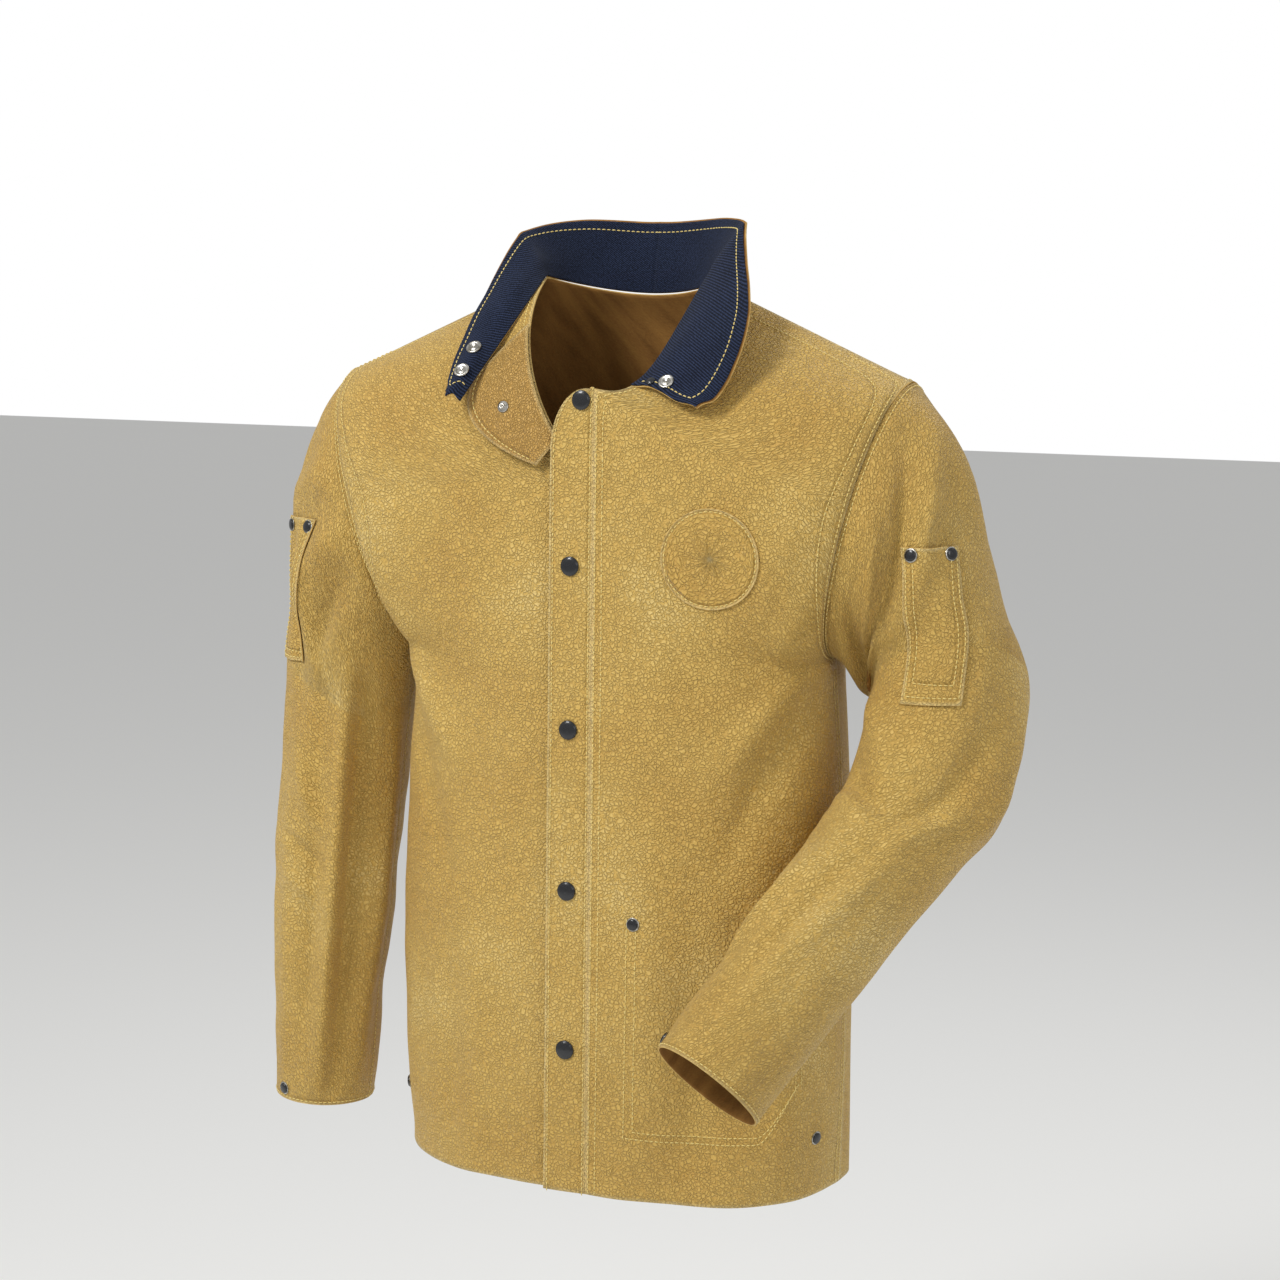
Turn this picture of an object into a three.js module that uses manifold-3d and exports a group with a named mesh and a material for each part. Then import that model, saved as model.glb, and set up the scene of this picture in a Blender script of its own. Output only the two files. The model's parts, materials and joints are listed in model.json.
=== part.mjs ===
// A leather welding jacket with a snap front, a spread collar with a twill lining, a hanging
// right sleeve and a bent left sleeve. +Z is up, the front faces -Y and the wearer's left is +X.
// The origin is the middle of the neck opening at shoulder height. Sizes are in millimetres.
import * as THREE from "three";
import { mergeVertices } from "three/addons/utils/BufferGeometryUtils.js";
import Module from "manifold-3d";

const wasm = await Module();
wasm.setup();

// ---- driving dimensions -------------------------------------------------------------------
const LEATHER = 1.4; // thickness of the shell leather
const THIN_LEATHER = 1.1; // facings, pockets and patches
const TWILL = 0.8; // collar lining
const CLEARANCE = 0.3; // gap between pieces that lie on each other
const LAYER_GAP = 0.6; // gap between curved layers that are sewn together

const FRONT_LENGTH = 712; // hem below the neck opening, at the front
const BACK_HEM_DROP = 21; // extra length of the back
const NECK_HALF = 68; // half the neck opening at the shoulder seams
const NAPE_BACK = 62; // how far the nape lies behind the origin
const NAPE_DROP = 15; // how far the back neck seam lies below the shoulder line
const SHOULDER_HALF = 237; // shoulder tip from the middle
const SHOULDER_DROP = 75; // shoulder tip below the neck point
const SEAM_BACK = 5; // shoulder and side seams lie this far behind the origin
const HEM_HALF = 188; // half the width of the body at the hem
const HEM_FRONT = 118; // depth of the front at the hem
const HEM_BACK = 112; // depth of the back at the hem
const BLADE_BACK = 116; // depth of the back at the shoulder blades
const CHEST_FRONT = 97; // depth of the front where the placket ends
const ARMHOLE_HALF_HEIGHT = 111;
const ARMHOLE_HALF_DEPTH = 76;
const ARMHOLE_TILT = THREE.MathUtils.degToRad(15); // the armhole faces outward and down

const PLACKET_WIDTH = 36;
const PLACKET_TOP = 80; // top of the placket below the origin
const PLACKET_CORNER_WIDTH = 30; // its top front corner is a quarter of an ellipse
const PLACKET_CORNER_HEIGHT = 48;
const LAPEL_LENGTH = 70; // how far the right front is turned back below the placket top
const SNAP_PITCH = 127;
const SNAP_COUNT = 5;
const LOWEST_SNAP = 115; // lowest snap above the hem
const CAP_RADIUS = 7.6;
const CAP_HEIGHT = 3.4;
const SNAP_POST_RADIUS = 1.9;
const SOCKET_RADIUS = 5.6;
const SOCKET_HEIGHT = 2.2;
const STUD_HEAD_RADIUS = 2.6;
const STUD_FLANGE_RADIUS = 4.6;

const RIVET_RADIUS = 4.6;
const RIVET_HEIGHT = 2;
const RIVET_POST_RADIUS = 1.5;
const RIVET_TAIL_RADIUS = 3.2;

const PATCH_RADIUS = 38.5; // round chest patch
const PATCH_X = 112;
const INSIDE_POCKET_WIDTH = 132;
const INSIDE_POCKET_HEIGHT = 176;
const INSIDE_POCKET_X = 112; // its middle
const INSIDE_POCKET_BOTTOM = 46; // above the hem
const PENCIL_POCKET_WIDTH = 46;
const PENCIL_POCKET_HEIGHT = 118;
const CUFF_HALF_WIDTH = 40;
const CUFF_HALF_DEPTH = 47;

// ---- small helpers ------------------------------------------------------------------------
const vec = (x, y, z) => new THREE.Vector3(x, y, z);
const mix = THREE.MathUtils.lerp;
const clamp = THREE.MathUtils.clamp;
const smooth = (x, low, high) => THREE.MathUtils.smoothstep(x, low, high);
const jacket = new THREE.Group();

const LOOKS = {
  leather: { color: 0xd0a652, roughness: 0.62, metalness: 0 },
  facing: { color: 0xb5813a, roughness: 0.8, metalness: 0 },
  twill: { color: 0x1d2638, roughness: 0.9, metalness: 0 },
  cap: { color: 0x17181b, roughness: 0.35, metalness: 0.4 },
  steel: { color: 0xb9bbbd, roughness: 0.3, metalness: 1 },
};

function bezier(start, first, second, end, t) {
  return new THREE.CubicBezierCurve3(start, first, second, end).getPoint(t);
}

function signedVolume(geometry) {
  const position = geometry.attributes.position;
  const index = geometry.index;
  const corner = [vec(0, 0, 0), vec(0, 0, 0), vec(0, 0, 0)];
  let volume = 0;
  for (let i = 0; i < index.count; i += 3) {
    corner.forEach((point, k) => point.fromBufferAttribute(position, index.getX(i + k)));
    volume += corner[0].dot(corner[1].clone().cross(corner[2])) / 6;
  }
  return volume;
}

// Merges shared vertices and turns every face outward.
function closed(geometry) {
  geometry.deleteAttribute("normal");
  geometry.deleteAttribute("uv");
  const merged = mergeVertices(geometry, 1e-4);
  if (signedVolume(merged) < 0) {
    const index = merged.index;
    for (let i = 0; i < index.count; i += 3) {
      const held = index.getX(i);
      index.setX(i, index.getX(i + 1));
      index.setX(i + 1, held);
    }
  }
  return merged;
}

function toSolid(geometry) {
  const triVerts = new Uint32Array(geometry.index.array);
  const vertProperties = new Float32Array(geometry.attributes.position.array);
  return new wasm.Manifold(new wasm.Mesh({ numProp: 3, vertProperties, triVerts }));
}

function toGeometry(solid) {
  const mesh = solid.getMesh();
  const geometry = new THREE.BufferGeometry();
  geometry.setAttribute("position", new THREE.BufferAttribute(mesh.vertProperties, 3));
  geometry.setIndex(new THREE.BufferAttribute(mesh.triVerts, 1));
  return geometry;
}

function addPiece(name, geometry, look) {
  const mesh = new THREE.Mesh(geometry, new THREE.MeshStandardMaterial(LOOKS[look]));
  mesh.name = name;
  jacket.add(mesh);
  return mesh;
}

// The outward normal of point(u, v), turned towards away(point).
function surfaceNormal(point, u, v, away) {
  const step = 1e-3;
  const alongU = point(Math.min(u + step, 1), v).sub(point(Math.max(u - step, 0), v));
  const alongV = point(u, Math.min(v + step, 1)).sub(point(u, Math.max(v - step, 0)));
  const normal = alongU.cross(alongV).normalize();
  return normal.dot(away(point(u, v))) < 0 ? normal.negate() : normal;
}

const fromSpine = (point) => vec(point.x, point.y * 1.6, Math.max(0, point.z + 120));

// A sheet of one thickness. Its outer face is point(u, v); fixNormal squares the sewn edges.
function sheet(point, columns, rows, thickness, options = {}) {
  const { away = fromSpine, fixNormal = (normal) => normal, lift = 0 } = options;
  const geometry = new THREE.BoxGeometry(1, 1, 1, columns, rows, 1);
  const position = geometry.attributes.position;
  for (let i = 0; i < position.count; i += 1) {
    const u = position.getX(i) + 0.5;
    const v = position.getY(i) + 0.5;
    const inner = position.getZ(i) < 0 ? 1 : 0;
    const normal = fixNormal(surfaceNormal(point, u, v, away), u, v);
    const place = point(u, v).addScaledVector(normal, lift - inner * thickness);
    position.setXYZ(i, place.x, place.y, place.z);
  }
  return closed(geometry);
}

// A closed ring of wall: ring(angle, s) is its outer face from s = 0 to s = 1.
function tube(ring, middle, segments, steps, thickness) {
  const profile = [];
  for (let j = 0; j <= steps; j += 1) profile.push(new THREE.Vector2(2, j / steps));
  for (let j = steps; j >= 0; j -= 1) profile.push(new THREE.Vector2(1, j / steps));
  profile.push(profile[0].clone());
  const geometry = new THREE.LatheGeometry(profile, segments);
  const position = geometry.attributes.position;
  for (let i = 0; i < position.count; i += 1) {
    const angle = Math.atan2(position.getX(i), position.getZ(i));
    const s = clamp(position.getY(i), 0, 1);
    const inner = Math.hypot(position.getX(i), position.getZ(i)) < 1.5;
    const place = ring(angle, s);
    const inward = middle(s).sub(place);
    if (inner) place.addScaledVector(inward.normalize(), thickness);
    position.setXYZ(i, place.x, place.y, place.z);
  }
  return closed(geometry);
}

// A turned piece: points of [radius, height], standing on the seat along its normal.
function turned(points, segments, seat) {
  const geometry = new THREE.LatheGeometry(points.map(([r, h]) => new THREE.Vector2(r, h)), segments);
  const turn = new THREE.Quaternion().setFromUnitVectors(vec(0, 1, 0), seat.normal);
  geometry.applyQuaternion(turn);
  geometry.translate(seat.point.x, seat.point.y, seat.point.z);
  return closed(geometry);
}

// Where a line from outside first meets a piece, with the facet's normal.
function seatOn(mesh, from, direction) {
  mesh.updateMatrixWorld();
  const hit = new THREE.Raycaster(from, direction.clone().normalize()).intersectObject(mesh)[0];
  return { point: hit.point, normal: hit.face.normal.clone() };
}

function drill(mesh, seat, radius, depth) {
  const profile = [[0, -depth], [radius, -depth], [radius, depth], [0, depth]];
  const cut = toSolid(mesh.geometry).subtract(toSolid(turned(profile, 10, seat)));
  mesh.geometry = toGeometry(cut);
}

// ---- body shell ---------------------------------------------------------------------------
const EDGE = PLACKET_WIDTH / 2;
const UNDERARM_ROW = 0.55; // share of a panel's rows below the underarm
const NECK_ROW = 0.8; // share of a front's rows below its neckline
const NECK_COLUMN = 0.375; // share of the back's half width under the collar
const ROW_FULLNESS = 0.62; // how square the body is in plan
const SIDE_HEM_DROP = 4;
const SIDE_FULLNESS = 7;

const armholeNormal = vec(Math.cos(ARMHOLE_TILT), 0, -Math.sin(ARMHOLE_TILT));
const armholeUp = vec(Math.sin(ARMHOLE_TILT), 0, Math.cos(ARMHOLE_TILT));
const armholeCentre = vec(SHOULDER_HALF, SEAM_BACK, -SHOULDER_DROP)
  .addScaledVector(armholeUp, -ARMHOLE_HALF_HEIGHT);
const underarm = armholeCentre.clone().addScaledVector(armholeUp, -ARMHOLE_HALF_HEIGHT);

// Angle 0 is the shoulder tip and a quarter turn is the front of the armhole.
function armhole(angle) {
  return armholeCentre.clone()
    .addScaledVector(armholeUp, ARMHOLE_HALF_HEIGHT * Math.cos(angle))
    .add(vec(0, -ARMHOLE_HALF_DEPTH * Math.sin(angle), 0));
}

// Right-hand pieces are the mirror image of the left.
const mirror = (point, side) => vec(point.x * side, point.y, point.z);

function frontDepth(z) {
  const rise = (z + FRONT_LENGTH) / (FRONT_LENGTH - PLACKET_TOP);
  return -mix(HEM_FRONT, CHEST_FRONT, rise);
}

function sideSeam(v, facing) {
  const t = v / UNDERARM_ROW;
  const x = mix(HEM_HALF, underarm.x, t) + SIDE_FULLNESS * Math.sin(Math.PI * t);
  const z = mix(-FRONT_LENGTH - SIDE_HEM_DROP, underarm.z, t);
  return vec(x, SEAM_BACK + (facing * CLEARANCE) / 2, z);
}

// facing is -1 for a front and 1 for the back.
function sideEdge(v, facing) {
  if (v <= UNDERARM_ROW) return sideSeam(v, facing);
  const angle = (Math.PI * (1 - v)) / (1 - UNDERARM_ROW);
  return armhole(-facing * angle).add(vec(0, (facing * CLEARANCE) / 2, 0));
}

function bodyRow(start, end, t) {
  const depth = mix(end.y, start.y, ROW_FULLNESS);
  const first = vec(mix(start.x, end.x, ROW_FULLNESS), start.y, mix(start.z, end.z, ROW_FULLNESS));
  return bezier(start, first, vec(end.x, depth, end.z), end, t);
}

const neckPoint = (facing) => vec(NECK_HALF, SEAM_BACK + (facing * CLEARANCE) / 2, 0);

// Depths through a closed snap, measured back from the outer face of the placket.
const FACING_BACK = LEATHER + CLEARANCE + THIN_LEATHER;
const SOCKET_FACE = FACING_BACK + CLEARANCE;
const SOCKET_END = SOCKET_FACE + SOCKET_HEIGHT;
const STUD_FLANGE = 0.7;
const STUD_FACE = SOCKET_END + CLEARANCE;
const RIGHT_FRONT_SHIFT = STUD_FACE + STUD_FLANGE + CLEARANCE;

const LEFT_EDGE = {
  side: 1,
  x: EDGE + CLEARANCE,
  top: -PLACKET_TOP,
  shift: 0,
  leave: vec(40, 2, -8),
  arrive: vec(-10, -77, -62),
  collarEnd: 0.3,
};
const RIGHT_EDGE = {
  side: -1,
  x: -EDGE,
  top: -PLACKET_TOP - LAPEL_LENGTH,
  shift: RIGHT_FRONT_SHIFT,
  leave: vec(62, 2, 45),
  arrive: vec(-12, -85, -30),
  collarEnd: 0.62,
};

function neckline(edge, t) {
  const start = vec(edge.x, frontDepth(edge.top) + edge.shift, edge.top);
  const end = neckPoint(-1);
  return bezier(start, start.clone().add(edge.leave), end.clone().add(edge.arrive), end, t);
}

function frontEdge(edge, v) {
  if (v > NECK_ROW) return neckline(edge, (v - NECK_ROW) / (1 - NECK_ROW));
  const z = mix(-FRONT_LENGTH, edge.top, v / NECK_ROW);
  return vec(edge.x, frontDepth(z) + edge.shift, z);
}

const frontPoint = (edge) => (u, v) =>
  mirror(bodyRow(frontEdge(edge, v), sideEdge(v, -1), u), edge.side);

function backNeck(t) {
  const nape = vec(0, NAPE_BACK, -NAPE_DROP);
  const end = neckPoint(1);
  return bezier(nape, nape.clone().add(vec(35, 0, 0)), end.clone().add(vec(0, 32, -5)), end, t);
}

function backTop(across) {
  if (across <= NECK_COLUMN) return backNeck(across / NECK_COLUMN);
  return neckPoint(1).lerp(sideEdge(1, 1), (across - NECK_COLUMN) / (1 - NECK_COLUMN));
}

function backPoint(u, v) {
  const across = Math.abs(2 * u - 1);
  const hem = vec(0, HEM_BACK, -FRONT_LENGTH - BACK_HEM_DROP);
  const waist = vec(0, HEM_BACK - 6, hem.z * 0.68);
  const blades = vec(0, BLADE_BACK + 25, -SHOULDER_DROP - 45);
  const spine = bezier(hem, waist, blades, vec(0, NAPE_BACK, -NAPE_DROP), v);
  const row = bodyRow(spine, sideEdge(v, 1), across);
  const napeRow = bodyRow(vec(0, NAPE_BACK, -NAPE_DROP), sideEdge(1, 1), across);
  const correction = backTop(across).sub(napeRow);
  row.addScaledVector(correction, smooth(v, 0.7, 1) ** 2);
  return mirror(row, u < 0.5 ? -1 : 1);
}

// Side and shoulder seams lie in a plane across the body, so their edges are cut square to it.
function squareSeams(isSeam) {
  return (normal, u, v) => (isSeam(u, v) ? normal.setY(0).normalize() : normal);
}

const frontSeam = (u, v) => v > 0.999 || (u > 0.999 && v < UNDERARM_ROW + 0.001);
const backSeam = (u, v) => {
  const across = Math.abs(2 * u - 1);
  if (v > 0.999) return across > NECK_COLUMN - 0.001;
  return across > 0.999 && v < UNDERARM_ROW + 0.001;
};

const leftFrontFace = frontPoint(LEFT_EDGE);
const rightFrontFace = frontPoint(RIGHT_EDGE);
const frontOptions = { fixNormal: squareSeams(frontSeam) };
const leftFront = addPiece("left_front", sheet(leftFrontFace, 11, 20, LEATHER, frontOptions), "leather");
const rightFront = addPiece("right_front", sheet(rightFrontFace, 12, 20, LEATHER, frontOptions), "leather");
addPiece("back", sheet(backPoint, 16, 20, LEATHER, { fixNormal: squareSeams(backSeam) }), "leather");

// ---- placket, facings and lapel -----------------------------------------------------------
function stripShape(inset) {
  const width = PLACKET_CORNER_WIDTH - inset;
  const height = PLACKET_CORNER_HEIGHT - inset;
  const left = -EDGE + inset;
  const right = EDGE;
  const top = -PLACKET_TOP - inset;
  const shape = new THREE.Shape();
  shape.moveTo(left, -FRONT_LENGTH + inset);
  shape.lineTo(right, -FRONT_LENGTH + inset);
  shape.lineTo(right, top);
  shape.lineTo(left + width, top);
  shape.absellipse(left + width, top - height, width, height, Math.PI / 2, Math.PI, false);
  return shape;
}

// A flat strip that leans with the front edge; depth is measured back from the outer face.
function leaningStrip(inset, depth, thickness) {
  const options = { depth: thickness, bevelEnabled: false, curveSegments: 8 };
  const geometry = new THREE.ExtrudeGeometry(stripShape(inset), options);
  const position = geometry.attributes.position;
  for (let i = 0; i < position.count; i += 1) {
    const z = position.getY(i);
    const y = frontDepth(z) + depth + position.getZ(i);
    position.setXYZ(i, position.getX(i), y, z);
  }
  return closed(geometry);
}

const FACING_INSET = 2;
const FACING_WIDTH = 42;
const placket = addPiece("placket", leaningStrip(0, 0, LEATHER), "leather");
const placketFacing = addPiece(
  "placket_facing",
  leaningStrip(FACING_INSET, LEATHER + CLEARANCE, THIN_LEATHER),
  "facing",
);

// Finds the row and column of a panel where it has the wanted x and z.
function locate(point, x, z) {
  let u = 0.5;
  let v = 0.5;
  const step = 1e-3;
  for (let i = 0; i < 25; i += 1) {
    const here = point(u, v);
    const du = point(u + step, v).sub(here).divideScalar(step);
    const dv = point(u, v + step).sub(here).divideScalar(step);
    const spread = du.x * dv.z - dv.x * du.z;
    const missX = x - here.x;
    const missZ = z - here.z;
    u = clamp(u + (0.7 * (missX * dv.z - dv.x * missZ)) / spread, 0, 0.995);
    v = clamp(v + (0.7 * (du.x * missZ - missX * du.z)) / spread, 0, 0.995);
  }
  return { u, v };
}

const part = (point, u0, u1, v0, v1) => (u, v) => point(mix(u0, u1, u), mix(v0, v1, v));
const rightFacingEnd = locate(rightFrontFace, EDGE - FACING_WIDTH, -FRONT_LENGTH * 0.6).u;
const rightFacing = addPiece(
  "right_facing",
  sheet(part(rightFrontFace, 0.004, rightFacingEnd, 0.004, NECK_ROW - 0.01), 4, 12, THIN_LEATHER, {
    lift: -LEATHER - LAYER_GAP,
  }),
  "facing",
);

// The top corner of the right front is turned back over the panel, with its facing outward.
const LAPEL_LIFT = 4;
const LAPEL_SPRING = 3; // how much further its free edge stands off
const LAPEL_OUTLINE = [vec(30, 0, -140), vec(84, 0, -124), vec(112, 0, -98), vec(82, 0, -64)];
function lapelPoint(u, v) {
  const fold = neckline(RIGHT_EDGE, mix(0.2, 0.72, v));
  const outer = bezier(...LAPEL_OUTLINE, v);
  const x = mix(fold.x, outer.x, u);
  const z = mix(fold.z, outer.z, u);
  const spot = locate(rightFrontFace, -x, z);
  const under = rightFrontFace(spot.u, spot.v);
  return vec(-x, under.y - LAPEL_LIFT - LAPEL_SPRING * u, z);
}
const lapel = addPiece("right_lapel", sheet(lapelPoint, 7, 8, THIN_LEATHER), "facing");

// ---- collar -------------------------------------------------------------------------------
const COLLAR_SPLIT = 0.46; // the wings start here, just in front of the shoulder seams
const COLLAR_BACK_SHARE = 0.36; // share of the seam that follows the back neck
const COLLAR_LIFT = 5.5;
// From the neck seam to the collar's free edge, from the nape round to the wing's tip.
const LEFT_SPREAD = [
  vec(0, 12, 51), vec(8, 14, 48), vec(34, 5, 34), vec(65, -7, 13), vec(68, 0, -7), vec(59, -4, -27),
];
const RIGHT_SPREAD = [
  vec(0, 12, 51), vec(8, 14, 46), vec(28, 5, 24), vec(36, -4, -3), vec(32, 0, -15), vec(16, 4, -7),
];
const RIGHT_SEAM_DRIFT = vec(42, -37, -44); // the right seam follows the turned-back corner
const COLLAR_ROLL = 5; // rise of a wing between its seam and its edge
const WING_FORWARD = 12; // how far a wing's edge leans forward

function collarSeam(edge, s) {
  if (s <= COLLAR_BACK_SHARE) return backNeck(s / COLLAR_BACK_SHARE);
  const t = (s - COLLAR_BACK_SHARE) / (1 - COLLAR_BACK_SHARE);
  const along = neckline(edge, mix(1, edge.collarEnd, t));
  if (edge.side < 0) along.addScaledVector(RIGHT_SEAM_DRIFT, t * t);
  return along;
}

function collarPoint(edge, spread, s, h) {
  const reach = new THREE.CatmullRomCurve3(spread).getPoint(s);
  const seam = collarSeam(edge, s);
  const place = seam.addScaledVector(reach, h).add(vec(0, 0, COLLAR_LIFT));
  place.z += COLLAR_ROLL * Math.sin(Math.PI * h) * smooth(s, 0.3, 0.6);
  place.y -= WING_FORWARD * smooth(s, 0.45, 0.8) * h;
  return mirror(place, edge.side);
}

// The twill lining is the neck side and the leather backs it.
function addCollar(name, point, columns, turn) {
  const keep = (u, v) => {
    const step = 1e-3;
    const alongU = point(Math.min(u + step, 1), v).sub(point(Math.max(u - step, 0), v));
    const alongV = point(u, Math.min(v + step, 1)).sub(point(u, Math.max(v - step, 0)));
    return alongU.cross(alongV).multiplyScalar(turn);
  };
  const twillSide = (normal, u, v) => keep(u, v).normalize();
  const leatherSide = (normal, u, v) => keep(u, v).normalize().negate();
  const lift = TWILL + LAYER_GAP + LEATHER;
  const options = { fixNormal: leatherSide, lift };
  return {
    lining: addPiece(`${name}_lining`, sheet(point, columns, 4, TWILL, { fixNormal: twillSide }), "twill"),
    leather: addPiece(name, sheet(point, columns, 4, LEATHER, options), "leather"),
  };
}

const leftCollar = (s, h) => collarPoint(LEFT_EDGE, LEFT_SPREAD, s, h);
const rightCollar = (s, h) => collarPoint(RIGHT_EDGE, RIGHT_SPREAD, s, h);
const backEnd = COLLAR_SPLIT - 0.001;
const collarBack = (u, v) => {
  const s = (2 * u - 1) * backEnd;
  return s < 0 ? rightCollar(-s, v) : leftCollar(s, v);
};
addCollar("collar_back", collarBack, 14, 1);
const wingStart = COLLAR_SPLIT + 0.005;
const leftWingFace = part(leftCollar, wingStart, 1, 0, 1);
const rightWingFace = part(rightCollar, wingStart, 1, 0, 1);
const leftWing = addCollar("left_collar_wing", leftWingFace, 8, 1);
const rightWing = addCollar("right_collar_wing", rightWingFace, 8, -1);

// ---- sleeves ------------------------------------------------------------------------------
const LEFT_ARM = {
  side: 1,
  elbow: vec(SHOULDER_HALF + 46, 12, -352),
  cuff: vec(SHOULDER_HALF - 86, -192, -586),
  elbowHalfWidth: 58,
  elbowHalfDepth: 66,
  bendRelief: THREE.MathUtils.degToRad(12),
  straightenRelief: THREE.MathUtils.degToRad(15),
  pocketAngle: THREE.MathUtils.degToRad(36),
};
const RIGHT_ARM = {
  side: -1,
  elbow: vec(SHOULDER_HALF + 13, -2, -395),
  cuff: vec(SHOULDER_HALF + 35, -14, -692),
  elbowHalfWidth: 50,
  elbowHalfDepth: 62,
  bendRelief: THREE.MathUtils.degToRad(35),
  straightenRelief: 0,
  pocketAngle: THREE.MathUtils.degToRad(55),
};
const SLEEVE_SEGMENTS = 20;

// Directions at the elbow: the mitre plane holds the hinge line and the bend direction.
function armFrame(arm) {
  const upper = arm.elbow.clone().sub(armholeCentre).add(vec(-20, 0, 0)).normalize();
  const lower = arm.cuff.clone().sub(arm.elbow).normalize();
  const bent = arm.side > 0;
  const mitre = bent ? upper.clone().add(lower).normalize() : lower.clone();
  const hinge = bent ? lower.clone().cross(upper).normalize() : vec(1, 0, 0);
  hinge.addScaledVector(mitre, -hinge.dot(mitre)).normalize();
  if (hinge.x < 0) hinge.negate();
  const bend = hinge.clone().cross(mitre).normalize();
  if (bend.y > 0) bend.negate();
  return { upper, lower, mitre, hinge, bend };
}

function elbowRing(arm, frame, angle) {
  return arm.elbow.clone()
    .addScaledVector(frame.hinge, arm.elbowHalfWidth * Math.cos(angle))
    .addScaledVector(frame.bend, arm.elbowHalfDepth * Math.sin(angle));
}

function upperSleeve(arm, frame) {
  const fall = armholeNormal.clone().add(vec(0, 0, -0.6)).normalize();
  return (angle, s) => {
    const start = armhole(angle).addScaledVector(armholeNormal, CLEARANCE + 0.1);
    const end = elbowRing(arm, frame, angle).addScaledVector(frame.mitre, -CLEARANCE / 2);
    const first = start.clone().addScaledVector(fall, 47 + 33 * Math.cos(angle));
    const second = end.clone().addScaledVector(frame.upper, -70 - 34 * Math.cos(angle));
    return mirror(bezier(start, first, second, end, s), arm.side);
  };
}

function lowerSleeve(arm, frame) {
  const across = frame.hinge.clone().addScaledVector(frame.lower, -frame.hinge.dot(frame.lower));
  across.normalize();
  const deep = across.clone().cross(frame.lower).normalize();
  if (deep.dot(frame.bend) < 0) deep.negate();
  const lean = frame.lower.dot(frame.bend);
  const along = frame.lower.dot(frame.mitre);
  return (angle, s) => {
    const reach = arm.elbowHalfDepth * Math.sin(angle);
    const relief = Math.tan(reach > 0 ? arm.bendRelief : arm.straightenRelief);
    const sign = Math.sign(reach);
    const cut = (Math.abs(reach) * relief) / (along - sign * lean * relief);
    const start = elbowRing(arm, frame, angle)
      .addScaledVector(frame.mitre, CLEARANCE / 2)
      .addScaledVector(frame.lower, cut);
    const end = arm.cuff.clone()
      .addScaledVector(across, CUFF_HALF_WIDTH * Math.cos(angle))
      .addScaledVector(deep, CUFF_HALF_DEPTH * Math.sin(angle));
    return mirror(start.lerp(end, s), arm.side);
  };
}

function sleeveMiddle(face) {
  return (s) => {
    const sum = vec(0, 0, 0);
    for (let k = 0; k < 8; k += 1) sum.add(face((k * Math.PI) / 4, s));
    return sum.divideScalar(8);
  };
}

function addSleeve(name, arm) {
  const frame = armFrame(arm);
  const upperFace = upperSleeve(arm, frame);
  const lowerFace = lowerSleeve(arm, frame);
  const upper = tube(upperFace, sleeveMiddle(upperFace), SLEEVE_SEGMENTS, 8, LEATHER);
  const lower = tube(lowerFace, sleeveMiddle(lowerFace), SLEEVE_SEGMENTS, 3, LEATHER);
  return {
    frame,
    pocketAngle: arm.pocketAngle,
    upperFace,
    lowerFace,
    upper: addPiece(`${name}_upper_sleeve`, upper, "leather"),
    lower: addPiece(`${name}_lower_sleeve`, lower, "leather"),
  };
}

const leftSleeve = addSleeve("left", LEFT_ARM);
const rightSleeve = addSleeve("right", RIGHT_ARM);

// ---- pockets and chest patch --------------------------------------------------------------
// The inside pocket is sewn to the back of the left front along three sides.
const pocketBottom = -FRONT_LENGTH + INSIDE_POCKET_BOTTOM;
const pocketHalf = INSIDE_POCKET_WIDTH / 2;
const POCKET_TAPER = 0.92; // the outer edge is cut in by this share
const POCKET_CORNER = 0.3; // share of the height by which the outer corner is cut away
function insidePocketPoint(u, v) {
  const low = locate(leftFrontFace, INSIDE_POCKET_X, pocketBottom).v;
  const high = locate(leftFrontFace, INSIDE_POCKET_X, pocketBottom + INSIDE_POCKET_HEIGHT).v;
  const inner = locate(leftFrontFace, INSIDE_POCKET_X - pocketHalf, pocketBottom).u;
  const outer = locate(leftFrontFace, INSIDE_POCKET_X + pocketHalf * POCKET_TAPER, pocketBottom).u;
  const clipped = Math.max(0, POCKET_CORNER - v) * smooth(u, 0.7, 1);
  return leftFrontFace(mix(inner, outer, u), mix(low, high, v + clipped * (1 - v)));
}
const insidePocket = addPiece(
  "inside_pocket",
  sheet(insidePocketPoint, 10, 8, THIN_LEATHER, { lift: -LEATHER - 2 * LAYER_GAP }),
  "facing",
);

// A round patch sewn on the left chest, level with the second snap from the top.
const snapHeight = (k) => -FRONT_LENGTH + LOWEST_SNAP + k * SNAP_PITCH;
const PATCH_ABOVE_SNAP = 10;
const patchZ = snapHeight(SNAP_COUNT - 2) + PATCH_ABOVE_SNAP;
function addPatch() {
  const rings = 3;
  const profile = [new THREE.Vector2(0, 0)];
  for (let k = 1; k <= rings; k += 1) profile.push(new THREE.Vector2((k * PATCH_RADIUS) / rings, 0));
  for (let k = rings; k >= 0; k -= 1) profile.push(new THREE.Vector2((k * PATCH_RADIUS) / rings, 1));
  const geometry = new THREE.LatheGeometry(profile, 24);
  const position = geometry.attributes.position;
  for (let i = 0; i < position.count; i += 1) {
    const spot = locate(leftFrontFace, PATCH_X + position.getX(i), patchZ + position.getZ(i));
    const place = leftFrontFace(spot.u, spot.v);
    const normal = surfaceNormal(leftFrontFace, spot.u, spot.v, fromSpine);
    place.addScaledVector(normal, LAYER_GAP + position.getY(i) * THIN_LEATHER);
    position.setXYZ(i, place.x, place.y, place.z);
  }
  addPiece("chest_patch", closed(geometry), "leather");
}
addPatch();

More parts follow.
